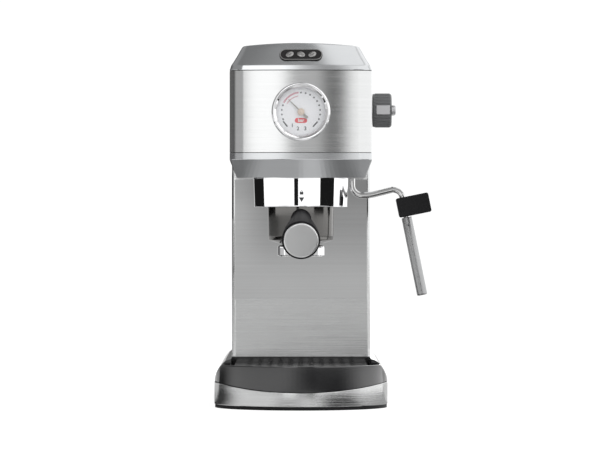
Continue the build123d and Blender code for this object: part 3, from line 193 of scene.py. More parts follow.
# %% Plastic, rubber and other finishes
finish("black_plastic", (0.013, 0.013, 0.014), 0.38, 0.0, 1700, 0.00003, 0.15,
       **{"Specular IOR Level": 0.12})
finish("rubber", (0.018, 0.018, 0.018), 0.75, 0.0, 900, 0.00004, 0.2)
finish("gunmetal", (0.010, 0.010, 0.011), 0.12, 0.0, 1500, 0.000002, 0.1, 0.04, 1.0)
finish("plaque", (0.022, 0.021, 0.021), 0.4, 0.0, 1500, 0.00001, 0.1, 0.05,
       **{"Specular IOR Level": 0.12})
finish("dial", (0.86, 0.865, 0.89), 0.5, 0.0, 900, 0.000002, 0.02, 0.04)
finish("needle", (0.34, 0.33, 0.30), 0.45, 0.3, 900, 0.000002, 0.05, 0.05)
finish("knob_plastic", (0.105, 0.108, 0.11), 0.45, 0.0, 1500, 0.00002, 0.08)
finish("copper_coil", (0.10, 0.12, 0.20), 0.5, 0.0, 300, 0.00003, 0.1)
finish("silicone", (0.72, 0.72, 0.69), 0.5, 0.0, 80, 0.00001, 0.05)
finish("ptfe", (0.80, 0.80, 0.77), 0.4, 0.0, 80, 0.00001, 0.05)
finish("circuit", (0.03, 0.16, 0.07), 0.4, 0.0, 500, 0.00003, 0.3)
finish("tank_lid", (0.05, 0.05, 0.055), 0.3, 0.0, 1200, 0.00001, 0.1)
finish("tank_smoke", (0.10, 0.11, 0.125), 0.08, 0.0, 40, 0.000003, 0.1, 0.03, 0.0, Alpha=0.62)
finish("glass", (0.95, 0.97, 0.97), 0.03, 0.0, 20, 0.000001, 0.01, 0.01, 0.0, Alpha=0.06)
# Dark ink for the dial and the ring marks; the same colour is also the painted shade of the air hole in the
# froth sleeve.
finish("dark_ink_and_shade", (0.05, 0.055, 0.06), 0.5, 0.0, 900, 0.000001, 0.1)
finish("ink_rose", (0.62, 0.33, 0.38), 0.5, 0.0, 900, 0.000001, 0.05)
finish("ink_red", (0.72, 0.06, 0.08), 0.5, 0.0, 900, 0.000001, 0.05)
finish("hub", (0.66, 0.55, 0.46), 0.35, 0.2, 900, 0.000001, 0.05)
finish("relief", (0.34, 0.335, 0.33), 0.3, 1.0, 900, 0.000002, 0.05)
finish("silver_trim", (0.55, 0.55, 0.56), 0.3, 1.0, (30, 900, 900), 0.000004, 0.04)
for name, cad_node in nodes.items():
    cad_node.data.materials.clear()
    cad_node.data.materials.append(FINISHES["grid_steel" if name == "drip_grid" else slot_of[name]])
print("finishes:", len(FINISHES))

# %% [markdown]
# ## Surfaces from formulas
#
# Every new piece is a grid of points: rows of a cross-section, or a profile spun round an axis. Whole
# arrays are computed at once and then skinned with quads.

# %% Skinning a grid of points


def skin(rows, cols, wrap_rows, wrap_cols):
    """Quads of a grid whose points lie row after row; a wrapped direction joins its end to its start."""
    i = np.arange(rows if wrap_rows else rows - 1)[:, None]
    j = np.arange(cols if wrap_cols else cols - 1)[None, :]
    after_i = (i + 1) % rows
    after_j = (j + 1) % cols
    corners = (i * cols + j, i * cols + after_j, after_i * cols + after_j, after_i * cols + j)
    return np.stack(np.broadcast_arrays(*corners), -1).reshape(-1, 4)


def loft(rows, mode):
    """Points and faces of a closed surface through rows of points.

    stack: each row is a closed ring and flat lids close the first and the last.
    sheet: each column is a closed section and flat lids close its two ends.
    ring: both directions close on themselves.
    """
    count, width = rows.shape[:2]
    index = np.arange(count * width).reshape(count, width)
    faces = skin(count, width, mode != "stack", mode != "sheet").tolist()
    if mode == "stack":
        faces += [index[0].tolist(), index[-1].tolist()]
    if mode == "sheet":
        faces += [index[:, 0].tolist(), index[:, -1].tolist()]
    return rows.reshape(-1, 3), faces


def piece(name, parts, body, finish_name, stands_for=(), crease=34, slot=None):
    """One smooth mesh of closed surfaces with outward faces, riding on a body."""
    points, faces, start = [], [], 0
    for part_points, part_faces in parts:
        points.append(part_points)
        faces += [[corner + start for corner in face] for face in part_faces]
        start += len(part_points)
    mesh = bpy.data.meshes.new(name)
    mesh.from_pydata((np.concatenate(points) * MM).tolist(), [], faces)
    shape = bmesh.new()
    shape.from_mesh(mesh)
    bmesh.ops.remove_doubles(shape, verts=shape.verts, dist=2e-7)
    bmesh.ops.recalc_face_normals(shape, faces=shape.faces)
    open_edges = sum(not edge.is_manifold for edge in shape.edges)
    shape.to_mesh(mesh)
    shape.free()
    mesh.shade_smooth()
    mesh.set_sharp_from_angle(angle=math.radians(crease))
    mesh.materials.append(FINISHES[finish_name])
    made = bpy.data.objects.new(name, mesh)
    bpy.context.scene.collection.objects.link(made)
    weights = made.modifiers.new("weights", "WEIGHTED_NORMAL")
    weights.keep_sharp = True
    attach(made, body)
    if stands_for:
        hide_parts(*stands_for)
    slot = slot or (slot_of[stands_for[0]] if stands_for else None)
    print(f"{name}: {len(mesh.polygons)} faces, {open_edges} open edges")
    return made


def eased(corners, reach, steps=5):
    """A polyline whose corners are cut back by reach and joined with parabolas; reach 0 keeps a corner."""
    corners = np.asarray(corners, float)
    runs = []
    for k, (here, cut) in enumerate(zip(corners, reach)):
        back = corners[k - 1] - here
        ahead = corners[(k + 1) % len(corners)] - here
        if cut == 0:
            runs.append(here[None])
            continue
        length_back = np.linalg.norm(back)
        length_ahead = np.linalg.norm(ahead)
        cut = min(cut, 0.48 * length_back, 0.48 * length_ahead)
        first = here + back / length_back * cut
        last = here + ahead / length_ahead * cut
        t = np.linspace(0, 1, steps + 1)[:, None]
        runs.append((1 - t) ** 2 * first + 2 * t * (1 - t) * here + t**2 * last)
    return np.concatenate(runs)


def turned(profile, origin, axis, count=128):
    """Pairs of radius and height spun round an axis through origin: one row of points for each pair."""
    axis = np.array(axis, float) / np.linalg.norm(axis)
    helper = np.array((0.0, 1.0, 0.0) if abs(axis[1]) < 0.9 else (1.0, 0.0, 0.0))
    side = np.cross(axis, helper)
    side /= np.linalg.norm(side)
    other = np.cross(axis, side)
    angle = np.linspace(0, 2 * np.pi, count, endpoint=False)[:, None]
    ring = np.cos(angle) * side + np.sin(angle) * other
    profile = np.asarray(profile, float)
    return np.array(origin) + profile[:, None, 1:2] * axis + profile[:, None, 0:1] * ring[None]


def rounded_box(width, height, corner, count=10):
    """Closed outline of a rectangle with round corners, centred on zero."""
    quarter = np.linspace(0, np.pi / 2, count)
    arc = np.stack([np.cos(quarter), np.sin(quarter)], 1) * corner
    outline = []
    for turn, (sx, sy) in enumerate(((1, 1), (-1, 1), (-1, -1), (1, -1))):
        c, s = np.cos(turn * np.pi / 2), np.sin(turn * np.pi / 2)
        turned_arc = arc @ np.array([[c, s], [-s, c]])
        outline.append(turned_arc + [sx * (width / 2 - corner), sy * (height / 2 - corner)])
    return np.concatenate(outline)


def slab(width, height, corner, low, high, edge, origin, across, up, out):
    """A plate with a rounded outline and eased rims, from low to high along out."""
    steps = np.array([0.0, 0.3, 0.7, 1.0])
    inset = edge * (1 - np.sqrt(1 - (1 - steps) ** 2))
    levels = np.concatenate([low + edge * steps, high - edge * steps[::-1]])
    insets = np.concatenate([inset, inset[::-1]])
    rows = []
    for level, cut in zip(levels, insets):
        flat = rounded_box(width - 2 * cut, height - 2 * cut, max(corner - cut, 0.05))
        rows.append(flat[:, :1] * np.array(across) + flat[:, 1:] * np.array(up) + level * np.array(out))
    return loft(np.array(rows) + np.array(origin), "stack")


# %% [markdown]
# ## Head
#
# In plan the head is a box with a gently bowed front and round front corners. `head_front` gives the
# front's Y for any X and any inset from the outline, so covers, bevels and the steel wrap all share it.

# %% Plan of the head
HALF, SIDE_FRONT, BOW, CORNER, REAR = 61.0, -155.0, 6.0, 14.0, 62.0


def head_front(x, inset):
    """Y of the front at x: a shallow arc of a large circle that runs into a round corner on each side."""
    half = HALF - inset
    edge = SIDE_FRONT + inset
    bow = (half**2 + BOW**2) / (2 * BOW)
    centre = edge - BOW + bow
    corner = CORNER - inset / 2
    across = half - corner
    corner_y = centre - np.sqrt((bow - corner) ** 2 - across**2)
    meet = across * bow / (bow - corner)
    x = np.abs(x)
    arc = centre - np.sqrt(bow**2 - np.minimum(x, meet) ** 2)
    past = np.maximum(x, meet) - across
    turn = corner_y - np.sqrt(np.clip(corner**2 - past**2, 0, None))
    return np.where(x < meet, arc, turn)


def head_path(inset, u, v, rear):
    """Plan from the rear left round the front to the rear right: u crosses the front, v runs back."""
    x = u * (HALF - inset)
    front = np.stack([x, head_front(x, inset)], 1)
    start = front[-1, 1]
    side_y = start + v[1:] * (rear - start)
    right = np.stack([np.full_like(side_y, HALF - inset), side_y], 1)
    return np.concatenate([right[::-1] * [-1, 1], front, right])


def head_ring(inset, u, v, rear, height):
    """The same plan closed along the rear; height is a number or a function of X."""
    path = head_path(inset, u, v, rear)
    back = np.stack([u[::-1][1:-1] * (HALF - inset), np.full(len(u) - 2, rear)], 1)
    flat = np.concatenate([path, back])
    z = height(flat[:, 0]) if callable(height) else np.full(len(flat), height)
    return np.column_stack([flat, z])


across_front = np.sin(np.linspace(-np.pi / 2, np.pi / 2, 161))
along_side = np.linspace(0, 1, 25)

# %% [markdown]
# ### Steel wrap
#
# One sheet is bent round the front and both sides. It has a round window for the gauge and a hole for the
# steam tap. Round each opening the square net of points gives way to rings that run from the square to
# the circle.

# %% Steel wrap with its openings
LOWER_SEAM, UPPER_SEAM, SHEET = 219.5, 289.0, 1.0
GAUGE_Z, KNOB_Y, KNOB_Z = 253.8, -100.0, 257.0


def pierced_sheet(inset, thickness, z, u, v, rear, openings):
    """A bent sheet with round openings: two nets of points, a ring patch at each opening, and rims."""
    outer = head_path(inset, u, v, rear)
    inner = head_path(inset + thickness, u, v, rear)
    run = np.where(np.abs(outer[:, 0]) < HALF - inset, outer[:, 0], 0.0)
    side = outer[:, 1] - head_front(HALF - inset, inset)
    run = np.where(outer[:, 0] >= HALF - inset, HALF - inset + side, run)
    run = np.where(outer[:, 0] <= inset - HALF, inset - HALF - side, run)
    rows, cols = len(z), len(run)
    index = np.arange(rows * cols).reshape(rows, cols)
    solid = np.ones((rows - 1, cols - 1), bool)
    points, faces, rims, start = [], [], [], 0
    frames = []
    for run_0, z_0, radius, reach in openings:
        left, right = np.searchsorted(run, [run_0 - reach - 1e-6, run_0 + reach - 1e-6])
        low, high = np.searchsorted(z, [z_0 - reach - 1e-6, z_0 + reach - 1e-6])
        solid[low:high, left:right] = False
        ring = np.concatenate(
            [
                index[low, left:right],
                index[low:high, right],
                index[high, right:left:-1],
                index[high:low:-1, left],
            ]
        )
        frames.append((run_0, z_0, radius, ring))
    for path in (outer, inner):
        net = np.empty((rows, cols, 3))
        net[..., :2] = path[None]
        net[..., 2] = z[:, None]
        points.append(net.reshape(-1, 3))
        quads = skin(rows, cols, False, False)[solid.ravel()] + start
        faces += quads.tolist()
        offset = start + rows * cols
        rim = []
        for run_0, z_0, radius, ring in frames:
            at_run, at_z = run[ring % cols], z[ring // cols]
            angle = np.arctan2(at_z - z_0, at_run - run_0)
            t = np.linspace(0, 1, 9)[1:, None]
            ring_run = (1 - t) * at_run + t * (run_0 + radius * np.cos(angle))
            ring_z = (1 - t) * at_z + t * (z_0 + radius * np.sin(angle))
            patch = [np.interp(ring_run, run, path[:, k]) for k in (0, 1)]
            points.append(np.stack([*patch, ring_z], -1).reshape(-1, 3))
            count = len(ring)
            numbers = np.vstack([ring + start, offset + np.arange(8 * count).reshape(8, count)])
            nxt = np.roll(numbers, -1, 1)
            faces += np.stack([numbers[:-1], nxt[:-1], nxt[1:], numbers[1:]], -1).reshape(-1, 4).tolist()
            rim.append(numbers[-1])
            offset += 8 * count
        rims.append(rim)
        start = offset
    shift = rims[1][0][0] - rims[0][0][0]
    for ring in rims[0]:
        nxt = np.roll(ring, -1)
        faces += np.stack([ring, nxt, nxt + shift, ring + shift], -1).tolist()
    for edge in (index[0], index[-1], index[:, 0], index[:, -1]):
        faces += np.stack([edge[:-1], edge[1:], edge[1:] + shift, edge[:-1] + shift], -1).tolist()
    return np.concatenate(points), faces


def with_lines(values, lines):
    """values with extra lines added, in order and without near copies."""
    far = values[np.abs(values[:, None] - np.array(lines)[None]).min(1) > 1e-3]
    return np.sort(np.concatenate([far, lines]))


GAUGE_REACH, KNOB_REACH = 28.0, 12.0
side_start = head_front(HALF, 0.0)
wrap_u = with_lines(across_front, [-GAUGE_REACH / HALF, GAUGE_REACH / HALF])
side_lines = [(KNOB_Y + s * KNOB_REACH - side_start) / (REAR - side_start) for s in (-1, 1)]
wrap_v = with_lines(np.linspace(0, 1, 41), side_lines)
wrap_z = np.linspace(LOWER_SEAM, UPPER_SEAM, 29)
z_lines = [GAUGE_Z - GAUGE_REACH, GAUGE_Z + GAUGE_REACH, KNOB_Z - KNOB_REACH, KNOB_Z + KNOB_REACH]
wrap_z = with_lines(wrap_z, z_lines)
openings = [
    (0.0, GAUGE_Z, 23.0, GAUGE_REACH),
    (HALF + KNOB_Y - side_start, KNOB_Z, 7.0, KNOB_REACH),
]
wrap = pierced_sheet(0.0, SHEET, wrap_z, wrap_u, wrap_v, REAR, openings)
piece("head_wrap_skin", [wrap], "machine", "brushed_steel", ["head_wrap"])

# %% [markdown]
# ### Lower cover
#
# A pressed satin cover closes the head underneath. A narrow upright facet meets the wrap, then a bevel
# runs in to the flat underside.

# %% Lower cover
COVER_REAR = -50.0
lower_profile = eased(
    [(7.6, 198.0), (6.0, 198.0), (0.0, 213.2), (0.0, 219.1), (1.6, 219.1)],
    [0, 0.7, 0.5, 0.35, 0],
)
lower_rows = [head_ring(inset, across_front, along_side, COVER_REAR, z) for inset, z in lower_profile]
lower_cover = loft(np.array(lower_rows), "stack")
piece("head_lower_skin", [lower_cover], "machine", "satin_steel", ["head_bottom_cover"])

# %% [markdown]
# ### Upper cover
#
# A narrow facet, a wide bevel and a roof that is part of a large cylinder. Two shallow seats are sunk in
# the roof, for the cup plate and for the button strip. The net of the roof has lines packed at the rims
# of the seats, so the steps stay crisp.

# %% Upper cover
HEAD_TOP, DOME_RADIUS, ROOF_INSET, SEAT_STEP = 313.0, 500.0, 12.0, 0.12
BEVEL_FOOT = 293.6
SEATS = [
    (43.0, -72.0, 52.0, 8.0, 309.0),
    (41.0, -135.0, -93.0, 6.0, 308.2),
    (33.0, -126.0, -102.0, 1.0, 304.1),
]


def dome(x):
    """Height of the roof at x."""
    return HEAD_TOP - DOME_RADIUS + np.sqrt(DOME_RADIUS**2 - x**2)


def roof_height(x, y):
    """The dome with the seats sunk in it; each seat is a rectangle with round corners."""
    z = dome(x)
    for half, front, rear, corner, level in SEATS:
        dx = np.abs(x) - half + corner
        dy = np.abs(y - (front + rear) / 2) - (rear - front) / 2 + corner
        outside = np.hypot(np.maximum(dx, 0), np.maximum(dy, 0))
        distance = outside + np.minimum(np.maximum(dx, dy), 0) - corner
        inside = np.clip(0.5 - distance / SEAT_STEP, 0, 1)
        z = np.minimum(z, z + (level - z) * inside)
    return z


def packed(half_width):
    """Lines close to a step, on both sides of it."""
    return [half_width - 0.07, half_width - 0.02, half_width + 0.05]


roof_half = HALF - ROOF_INSET
x_lines = np.concatenate([packed(seat[0]) for seat in SEATS] + [np.linspace(34.8, 42.8, 20)])
even_u = np.sin(np.linspace(-np.pi / 2, np.pi / 2, 121))
roof_u = with_lines(even_u, [*(x_lines / roof_half), *(-x_lines / roof_half)])
y_lines = []
for _, front, rear, corner, _ in SEATS:
    y_lines += [front - 0.05, front + 0.02, front + 0.07, rear - 0.07, rear - 0.02, rear + 0.05]
    y_lines += [*(front + np.linspace(0.3, corner, 12)), *(rear - np.linspace(0.3, corner, 12))]
roof_start = head_front(roof_half, ROOF_INSET)
flat_start = -135.05
y_rows = with_lines(np.linspace(flat_start, REAR, 60), y_lines)
y_rows = y_rows[y_rows >= flat_start]
side_rows = np.concatenate([np.linspace(roof_start, flat_start, 5)[:-1], y_rows])
roof_v = (side_rows - roof_start) / (REAR - roof_start)
roof_x = roof_u * roof_half
front_y = head_front(roof_x, ROOF_INSET)
blend = np.linspace(0, 1, 5)[:-1, None]
near_rows = (1 - blend) * front_y[None] + blend * flat_start
grid_y = np.concatenate([near_rows, np.repeat(y_rows[:, None], len(roof_x), 1)])
grid_x = np.repeat(roof_x[None], len(grid_y), 0)
roof_points = np.stack([grid_x, grid_y, roof_height(grid_x, grid_y)], -1)
roof = (roof_points.reshape(-1, 3), skin(*grid_x.shape, False, False).tolist())
FOOT = [(1.6, 289.4), (0.35, 289.4), (0.08, 289.55), (0.0, 289.9)]
FACET = [(1.03, 293.0), (1.24, 293.75), (1.75, 294.6)]
BEVEL = [(4.0, 0.28, 0), (6.5, 0.53, 0), (9.0, 0.79, 0), (10.5, 0.94, 0)]
BEVEL += [(11.0, 1.0, 0.55), (11.4, 1.0, 0.16)]
cover_rows = [head_ring(inset, roof_u, roof_v, REAR, z) for inset, z in FOOT + FACET]


def bevel_height(share, drop):
    """Height over X of a line on the bevel: a share of the way from its foot to the dome, less a drop."""
    return lambda x: BEVEL_FOOT + share * (dome(x) - BEVEL_FOOT) - drop


for inset, share, drop in BEVEL:
    cover_rows.append(head_ring(inset, roof_u, roof_v, REAR, bevel_height(share, drop)))
cover_rows.append(head_ring(ROOF_INSET, roof_u, roof_v, REAR, dome))
cover_points, cover_faces = loft(np.array(cover_rows), "stack")
cover = (cover_points, cover_faces[:-1])
roof_faces = [[corner + len(cover_points) for corner in face] for face in roof[1]]
upper_cover = (np.concatenate([cover[0], roof[0]]), cover[1] + roof_faces)
piece("head_upper_skin", [upper_cover], "machine", "satin_steel", ["head_top_cover"])

# %% [markdown]
# ### Plaque
#
# A dark pill let into the front bevel. It carries a raised rim and three coffee beans, each an ellipsoid
# with a groove along its middle.

# %% Plaque
tilt = math.atan2(9.8, 16.4)
plaque_out = np.array([0.0, -math.cos(tilt), math.sin(tilt)])
plaque_up = np.array([0.0, math.sin(tilt), math.cos(tilt)])
PLAQUE_Z = 302.1
plaque_middle = np.array([0.0, -161.0 + 1.2 + (PLAQUE_Z - BEVEL_FOOT) * math.tan(tilt), PLAQUE_Z])
plate = slab(36.6, 11.2, 5.55, -1.6, 1.5, 0.5, plaque_middle, (1, 0, 0), plaque_up, plaque_out)
piece("plaque_plate", [plate], "machine", "plaque", ["badge_plate"])


def pill_rim(width, height, corner, radius, level):
    """A thin round bead along a pill-shaped outline."""
    angle = np.linspace(0, 2 * np.pi, 10, endpoint=False)
    rows = []
    for a in angle:
        cut = radius * np.cos(a)
        flat = rounded_box(width - 2 * cut, height - 2 * cut, corner - cut, 16)
        lift = level + radius * np.sin(a)
        rows.append(flat[:, :1] * np.array((1, 0, 0)) + flat[:, 1:] * plaque_up + lift * plaque_out)
    return loft(np.array(rows) + plaque_middle, "ring")


def bean(x, lean):
    """A coffee bean: half-axes 3.6, 2.6 and 0.85, with a groove where the short coordinate is near zero."""
    lat = np.linspace(-np.pi / 2, np.pi / 2, 25)[1:-1, None]
    lon = np.linspace(0, 2 * np.pi, 40, endpoint=False)[None, :]
    a = 3.6 * np.cos(lat) * np.cos(lon)
    b = 2.6 * np.cos(lat) * np.sin(lon)
    c = 0.85 * np.sin(lat) * np.ones_like(lon)
    groove = np.exp(-(((b - 0.35 * np.sin(a * 1.1)) / 0.32) ** 2))
    c = np.where(c > 0, c * (1 - 0.75 * groove), c)
    ca, sa = math.cos(lean), math.sin(lean)
    across, up = x + a * ca - b * sa, a * sa + b * ca
    rows = across[..., None] * np.array((1.0, 0, 0)) + up[..., None] * plaque_up
    rows = rows + (1.55 + c)[..., None] * plaque_out
    return loft(rows + plaque_middle, "stack")


beads = [pill_rim(35.4, 10.0, 4.95, 0.32, 1.45), bean(-9.6, 0.5), bean(0.0, -0.4), bean(9.6, 0.5)]
piece("plaque_relief", beads, "machine", "relief")

# %% [markdown]
# ## Tower
#
# One folded sheet: the front between base and head and both sides up to the wrap.

# %% Tower
TOWER_FRONT, DECK_Z, APRON_Z, HEAD_BOTTOM = -50.0, 41.5, 37.2, 198.0


def tower_path(inset):
    """Plan of the folded sheet with small bends at the front."""
    half, front, bend = HALF - inset, TOWER_FRONT + inset, 3.0 - inset
    angle = np.linspace(0, np.pi / 2, 9)
    right_bend = np.stack([half - bend + bend * np.sin(angle), front + bend - bend * np.cos(angle)], 1)
    front_run = np.stack([np.linspace(0, half - bend - 0.5, 25), np.full(25, front)], 1)
    side_run = np.stack([np.full(12, half), np.linspace(front + bend + 1, REAR, 12)], 1)
    right = np.concatenate([front_run, right_bend, side_run])
    return np.concatenate([right[:0:-1] * [-1, 1], right])


rows = []
bend_start = TOWER_FRONT + 0.02
for inset, end in ((0.0, 0), (0.0, 0.5), (0.0, 1), (SHEET, 1), (SHEET, 0.5), (SHEET, 0)):
    flat = tower_path(inset)
    on_front = flat[:, 1] < bend_start + inset
    foot = np.where(on_front, APRON_Z, DECK_Z)
    top = np.where(np.abs(flat[:, 0]) < HALF - 6.7, HEAD_BOTTOM, LOWER_SEAM)
    rows.append(np.column_stack([flat, foot + end * (top - foot)]))
piece("tower_skin", [loft(np.array(rows), "sheet")], "machine", "brushed_steel", ["tower_panel"])

# %% [markdown]
# ## Base
#
# The base is a half-ellipse at the front, straight at the sides and round at the rear corners. Its upper
# part rolls over in quarter ellipses. A long shallow arc is the seam between the steel band and the dark
# moulding above it.

# %% Outlines of the base
BASE_HALF, BOW_Y, BOW_DEPTH, BASE_REAR, REAR_CORNER = 75.0, -105.0, 60.0, 165.0, 38.0
SEAM_Z, SEAM_RADIUS, SHOULDER_Z, SHOULDER_WIDTH = 14.8, 360.0, 19.0, 15.6
TRAY_SPLIT = -108.0


def seam(x):
    """Height of the curved seam at x."""
    return SEAM_Z + SEAM_RADIUS - np.sqrt(SEAM_RADIUS**2 - x**2)


def shoulder(z):
    """Half width of the rolled-over sides at height z."""
    lift = np.clip((z - SHOULDER_Z) / (DECK_Z - SHOULDER_Z), 0, 1)
    return BASE_HALF - SHOULDER_WIDTH + SHOULDER_WIDTH * np.sqrt(1 - lift**2)


def front_arc(inset, split=BOW_Y, count=161):
    """Plan of the bowed front from left to right, as far back as split."""
    lift = math.asin(min((BOW_Y - split) / (BOW_DEPTH - inset), 1.0))
    angle = np.linspace(np.pi + lift, 2 * np.pi - lift, count)
    return np.stack([(BASE_HALF - inset) * np.cos(angle), BOW_Y + (BOW_DEPTH - inset) * np.sin(angle)], 1)


def rear_half(inset):
    """Plan from the right side's front end round the rear to the left side's."""
    half, corner = BASE_HALF - inset, REAR_CORNER - inset
    side = np.stack([np.full(20, half), np.linspace(BOW_Y, BASE_REAR - REAR_CORNER, 20)], 1)
    angle = np.linspace(0, np.pi / 2, 25)[1:]
    turn_x = BASE_HALF - REAR_CORNER + corner * np.cos(angle)
    turn_y = BASE_REAR - REAR_CORNER + corner * np.sin(angle)
    turn = np.stack([turn_x, turn_y], 1)
    right = np.concatenate([side[1:], turn, [[0.0, BASE_REAR - inset]]])
    return np.concatenate([right, right[-2::-1] * [-1, 1]])


# %% Steel band
BAND_FOOT, BAND_TOP = 3.0, 22.0
BAND_FACE = [(0.35, 0, 0), (0, 0, 0.35), (0, 0.5, 0), (0, 1, -0.6)]
BAND_SECTION = [*BAND_FACE, (0.12, 1, -0.2), (0.45, 1, 0), (1.2, 1, 0), (1.2, 0, 0)]
band_rows = []
for inset, share, lift in BAND_SECTION:
    flat = np.concatenate([front_arc(inset), rear_half(inset)])
    top = np.minimum(seam(flat[:, 0]), BAND_TOP)
    band_rows.append(np.column_stack([flat, BAND_FOOT + share * (top - BAND_FOOT) + lift]))
piece("band_skin", [loft(np.array(band_rows), "ring")], "machine", "brushed_steel", ["base_band"])

# %% [markdown]
# The moulding is cut to a notch between its two front shoulders: the drip tray slides in there. Each ring
# of points is the outline at one height, held inside the rolled shoulders and above the seam.

# %% Moulded housing
BAY_HALF, BAY_REAR, BAY_FLOOR, SEAM_GAP = 60.65, -51.0, 19.6, 0.4
plan_half = BASE_HALF * math.sqrt(1 - ((BOW_Y - TRAY_SPLIT) / BOW_DEPTH) ** 2)
EAR_CUT, SEAM_FOOT, ARM_WALL = 0.4, 14.0, 0.35
right_ear = np.array(
    [
        [BAY_HALF, TRAY_SPLIT + EAR_CUT],
        [BAY_HALF + EAR_CUT, TRAY_SPLIT],
        [plan_half - EAR_CUT, TRAY_SPLIT],
        [plan_half, TRAY_SPLIT + EAR_CUT],
    ]
)
bay = np.array([[-BAY_HALF, BAY_REAR], [BAY_HALF, BAY_REAR]])
housing_plan = np.concatenate([right_ear, rear_half(0.0), right_ear[::-1] * [-1, 1], bay])


def held(flat, level, gap=0.0):
    """Points of an outline at one height: above the seam and inside the shoulders.

    Beside the bay the shoulders stop at a thin wall, so the deck's outline never crosses the bay.
    """
    z = np.maximum(level, seam(flat[:, 0]) + SEAM_GAP)
    limit = shoulder(z) - gap
    limit = np.where(flat[:, 1] < BAY_REAR + 11, np.maximum(limit, BAY_HALF + ARM_WALL - gap), limit)
    return np.column_stack([np.clip(flat[:, 0], -limit, limit), flat[:, 1], z])


roll = np.linspace(0, np.pi / 2, 22)
upright_levels = np.linspace(SEAM_FOOT, SHOULDER_Z, 6)[:-1]
levels = np.concatenate([upright_levels, SHOULDER_Z + (DECK_Z - SHOULDER_Z) * np.sin(roll)])
housing_rows = [held(housing_plan, level) for level in levels]
foot_row = np.column_stack([housing_plan * 0.96, np.full(len(housing_plan), 13.0)])
beside_bay = np.abs(housing_plan[:, 0]) <= BAY_HALF + 0.5
foot_row[beside_bay, :2] = housing_plan[beside_bay]
floor_slab = slab(2 * BAY_HALF + 1, BAY_REAR - TRAY_SPLIT, 1.0, BAY_FLOOR - 2, BAY_FLOOR, 0.2,
                  (0, (BAY_REAR + TRAY_SPLIT) / 2, 0), (1, 0, 0), (0, 1, 0), (0, 0, 1))
housing = loft(np.array([foot_row, *housing_rows]), "stack")
piece("housing_skin", [housing, floor_slab], "machine", "gunmetal", ["base_housing"])

# %% Tray front
front_levels = np.concatenate([np.linspace(SEAM_FOOT, 36.4, 30), [36.9]])
FRONT_LIP = [(0.12, 37.25), (0.4, 37.43), (0.8, 37.5), (1.9, 37.5), (2.3, 37.3), (2.5, 36.8)]
front_rows = [held(front_arc(0.0, TRAY_SPLIT - 0.4), level) for level in front_levels]
for inset, level in FRONT_LIP:
    front_rows.append(held(front_arc(inset, TRAY_SPLIT - 0.4), level, inset))
front_rows += [held(front_arc(2.5, TRAY_SPLIT - 0.4), level, 2.5) for level in front_levels[-3::-4]]
piece("tray_front_skin", [loft(np.array(front_rows), "sheet")], "tray", "gunmetal", ["tray_front"], 50)

# %% [markdown]
# ## Gauge
#
# A turned chrome ring, a printed dial, a balanced pointer and a flat glass.

# %% Gauge ring and dial
SEAT_Y = -161.1
gauge_middle = (0.0, SEAT_Y, GAUGE_Z)
ring_profile = eased(
    [(25.0, -1.4), (25.0, 3.3), (24.0, 4.5), (22.8, 4.5), (20.7, 2.9), (20.5, 0.2), (20.5, -1.4)],
    [0, 0.8, 0.8, 0.9, 0.8, 0.3, 0],
    8,
)
bezel = loft(turned(ring_profile, gauge_middle, (0, -1, 0), 160), "ring")
piece("gauge_ring", [bezel], "machine", "chrome", ["gauge_bezel"], 50)
dial_profile = [(20.6, -3.0), (20.6, -2.2), (1.3, -2.2), (1.3, -3.0)]
dial_plate = loft(turned(dial_profile, gauge_middle, (0, -1, 0)), "ring")
piece("gauge_face", [dial_plate], "machine", "dial", ["gauge_dial"])
PRINT, INK = 2.14, 0.06


def print_disc(x, z, radius):
    """A printed dot."""
    profile = [(radius, -PRINT - INK), (radius, -PRINT)]
    return loft(turned(profile, (x, SEAT_Y, GAUGE_Z + z), (0, -1, 0), 14), "stack")


def print_arc(radius, width, first, last):
    """A printed arc between two clock angles in degrees, counted clockwise from the top."""
    angle = np.radians(np.linspace(first, last, 40))
    rows = []
    inner, outer = radius - width / 2, radius + width / 2
    for r, y in ((inner, 0), (outer, 0), (outer, INK), (inner, INK)):
        depth = np.full(len(angle), SEAT_Y + PRINT + y)
        rows.append(np.stack([r * np.sin(angle), depth, GAUGE_Z + r * np.cos(angle)], 1))
    return loft(np.array(rows), "sheet")


def print_bar(x, z, length, width, lean):
    """A printed bar that leans by an angle in degrees."""
    a = math.radians(lean)
    along, up = np.array([math.cos(a), 0, math.sin(a)]), np.array([-math.sin(a), 0, math.cos(a)])
    place = (x, SEAT_Y, GAUGE_Z + z)
    return slab(length, width, width * 0.3, -PRINT - INK, -PRINT, 0.01, place, along, up, (0, -1, 0))


clock = np.radians([-112, -98, -84, -70, 0, 14, 28, 42, 56, 70, 84, 98, 112])
marks = [print_disc(16.4 * math.sin(a), 16.4 * math.cos(a), 0.74) for a in clock]
marks += [print_bar(-13.4, -10.2, 6.0, 1.2, -52), print_bar(12.2, -10.4, 6.0, 1.2, 48)]
piece("dial_marks", marks, "machine", "dark_ink_and_shade", slot="plaque")
plate_middle = (0, SEAT_Y, GAUGE_Z - 7.3)
FACING = ((1, 0, 0), (0, 0, 1), (0, -1, 0))
unit_plate = slab(10.6, 4.3, 2.1, -PRINT - INK, -PRINT, 0.01, plate_middle, *FACING)
piece("unit_plate", [unit_plate], "machine", "ink_red", slot="needle")
zone = [print_arc(16.6, 1.5, -62, -7), print_arc(13.7, 0.7, -60, -10)]
piece("dial_zone", zone, "machine", "ink_rose", slot="needle")


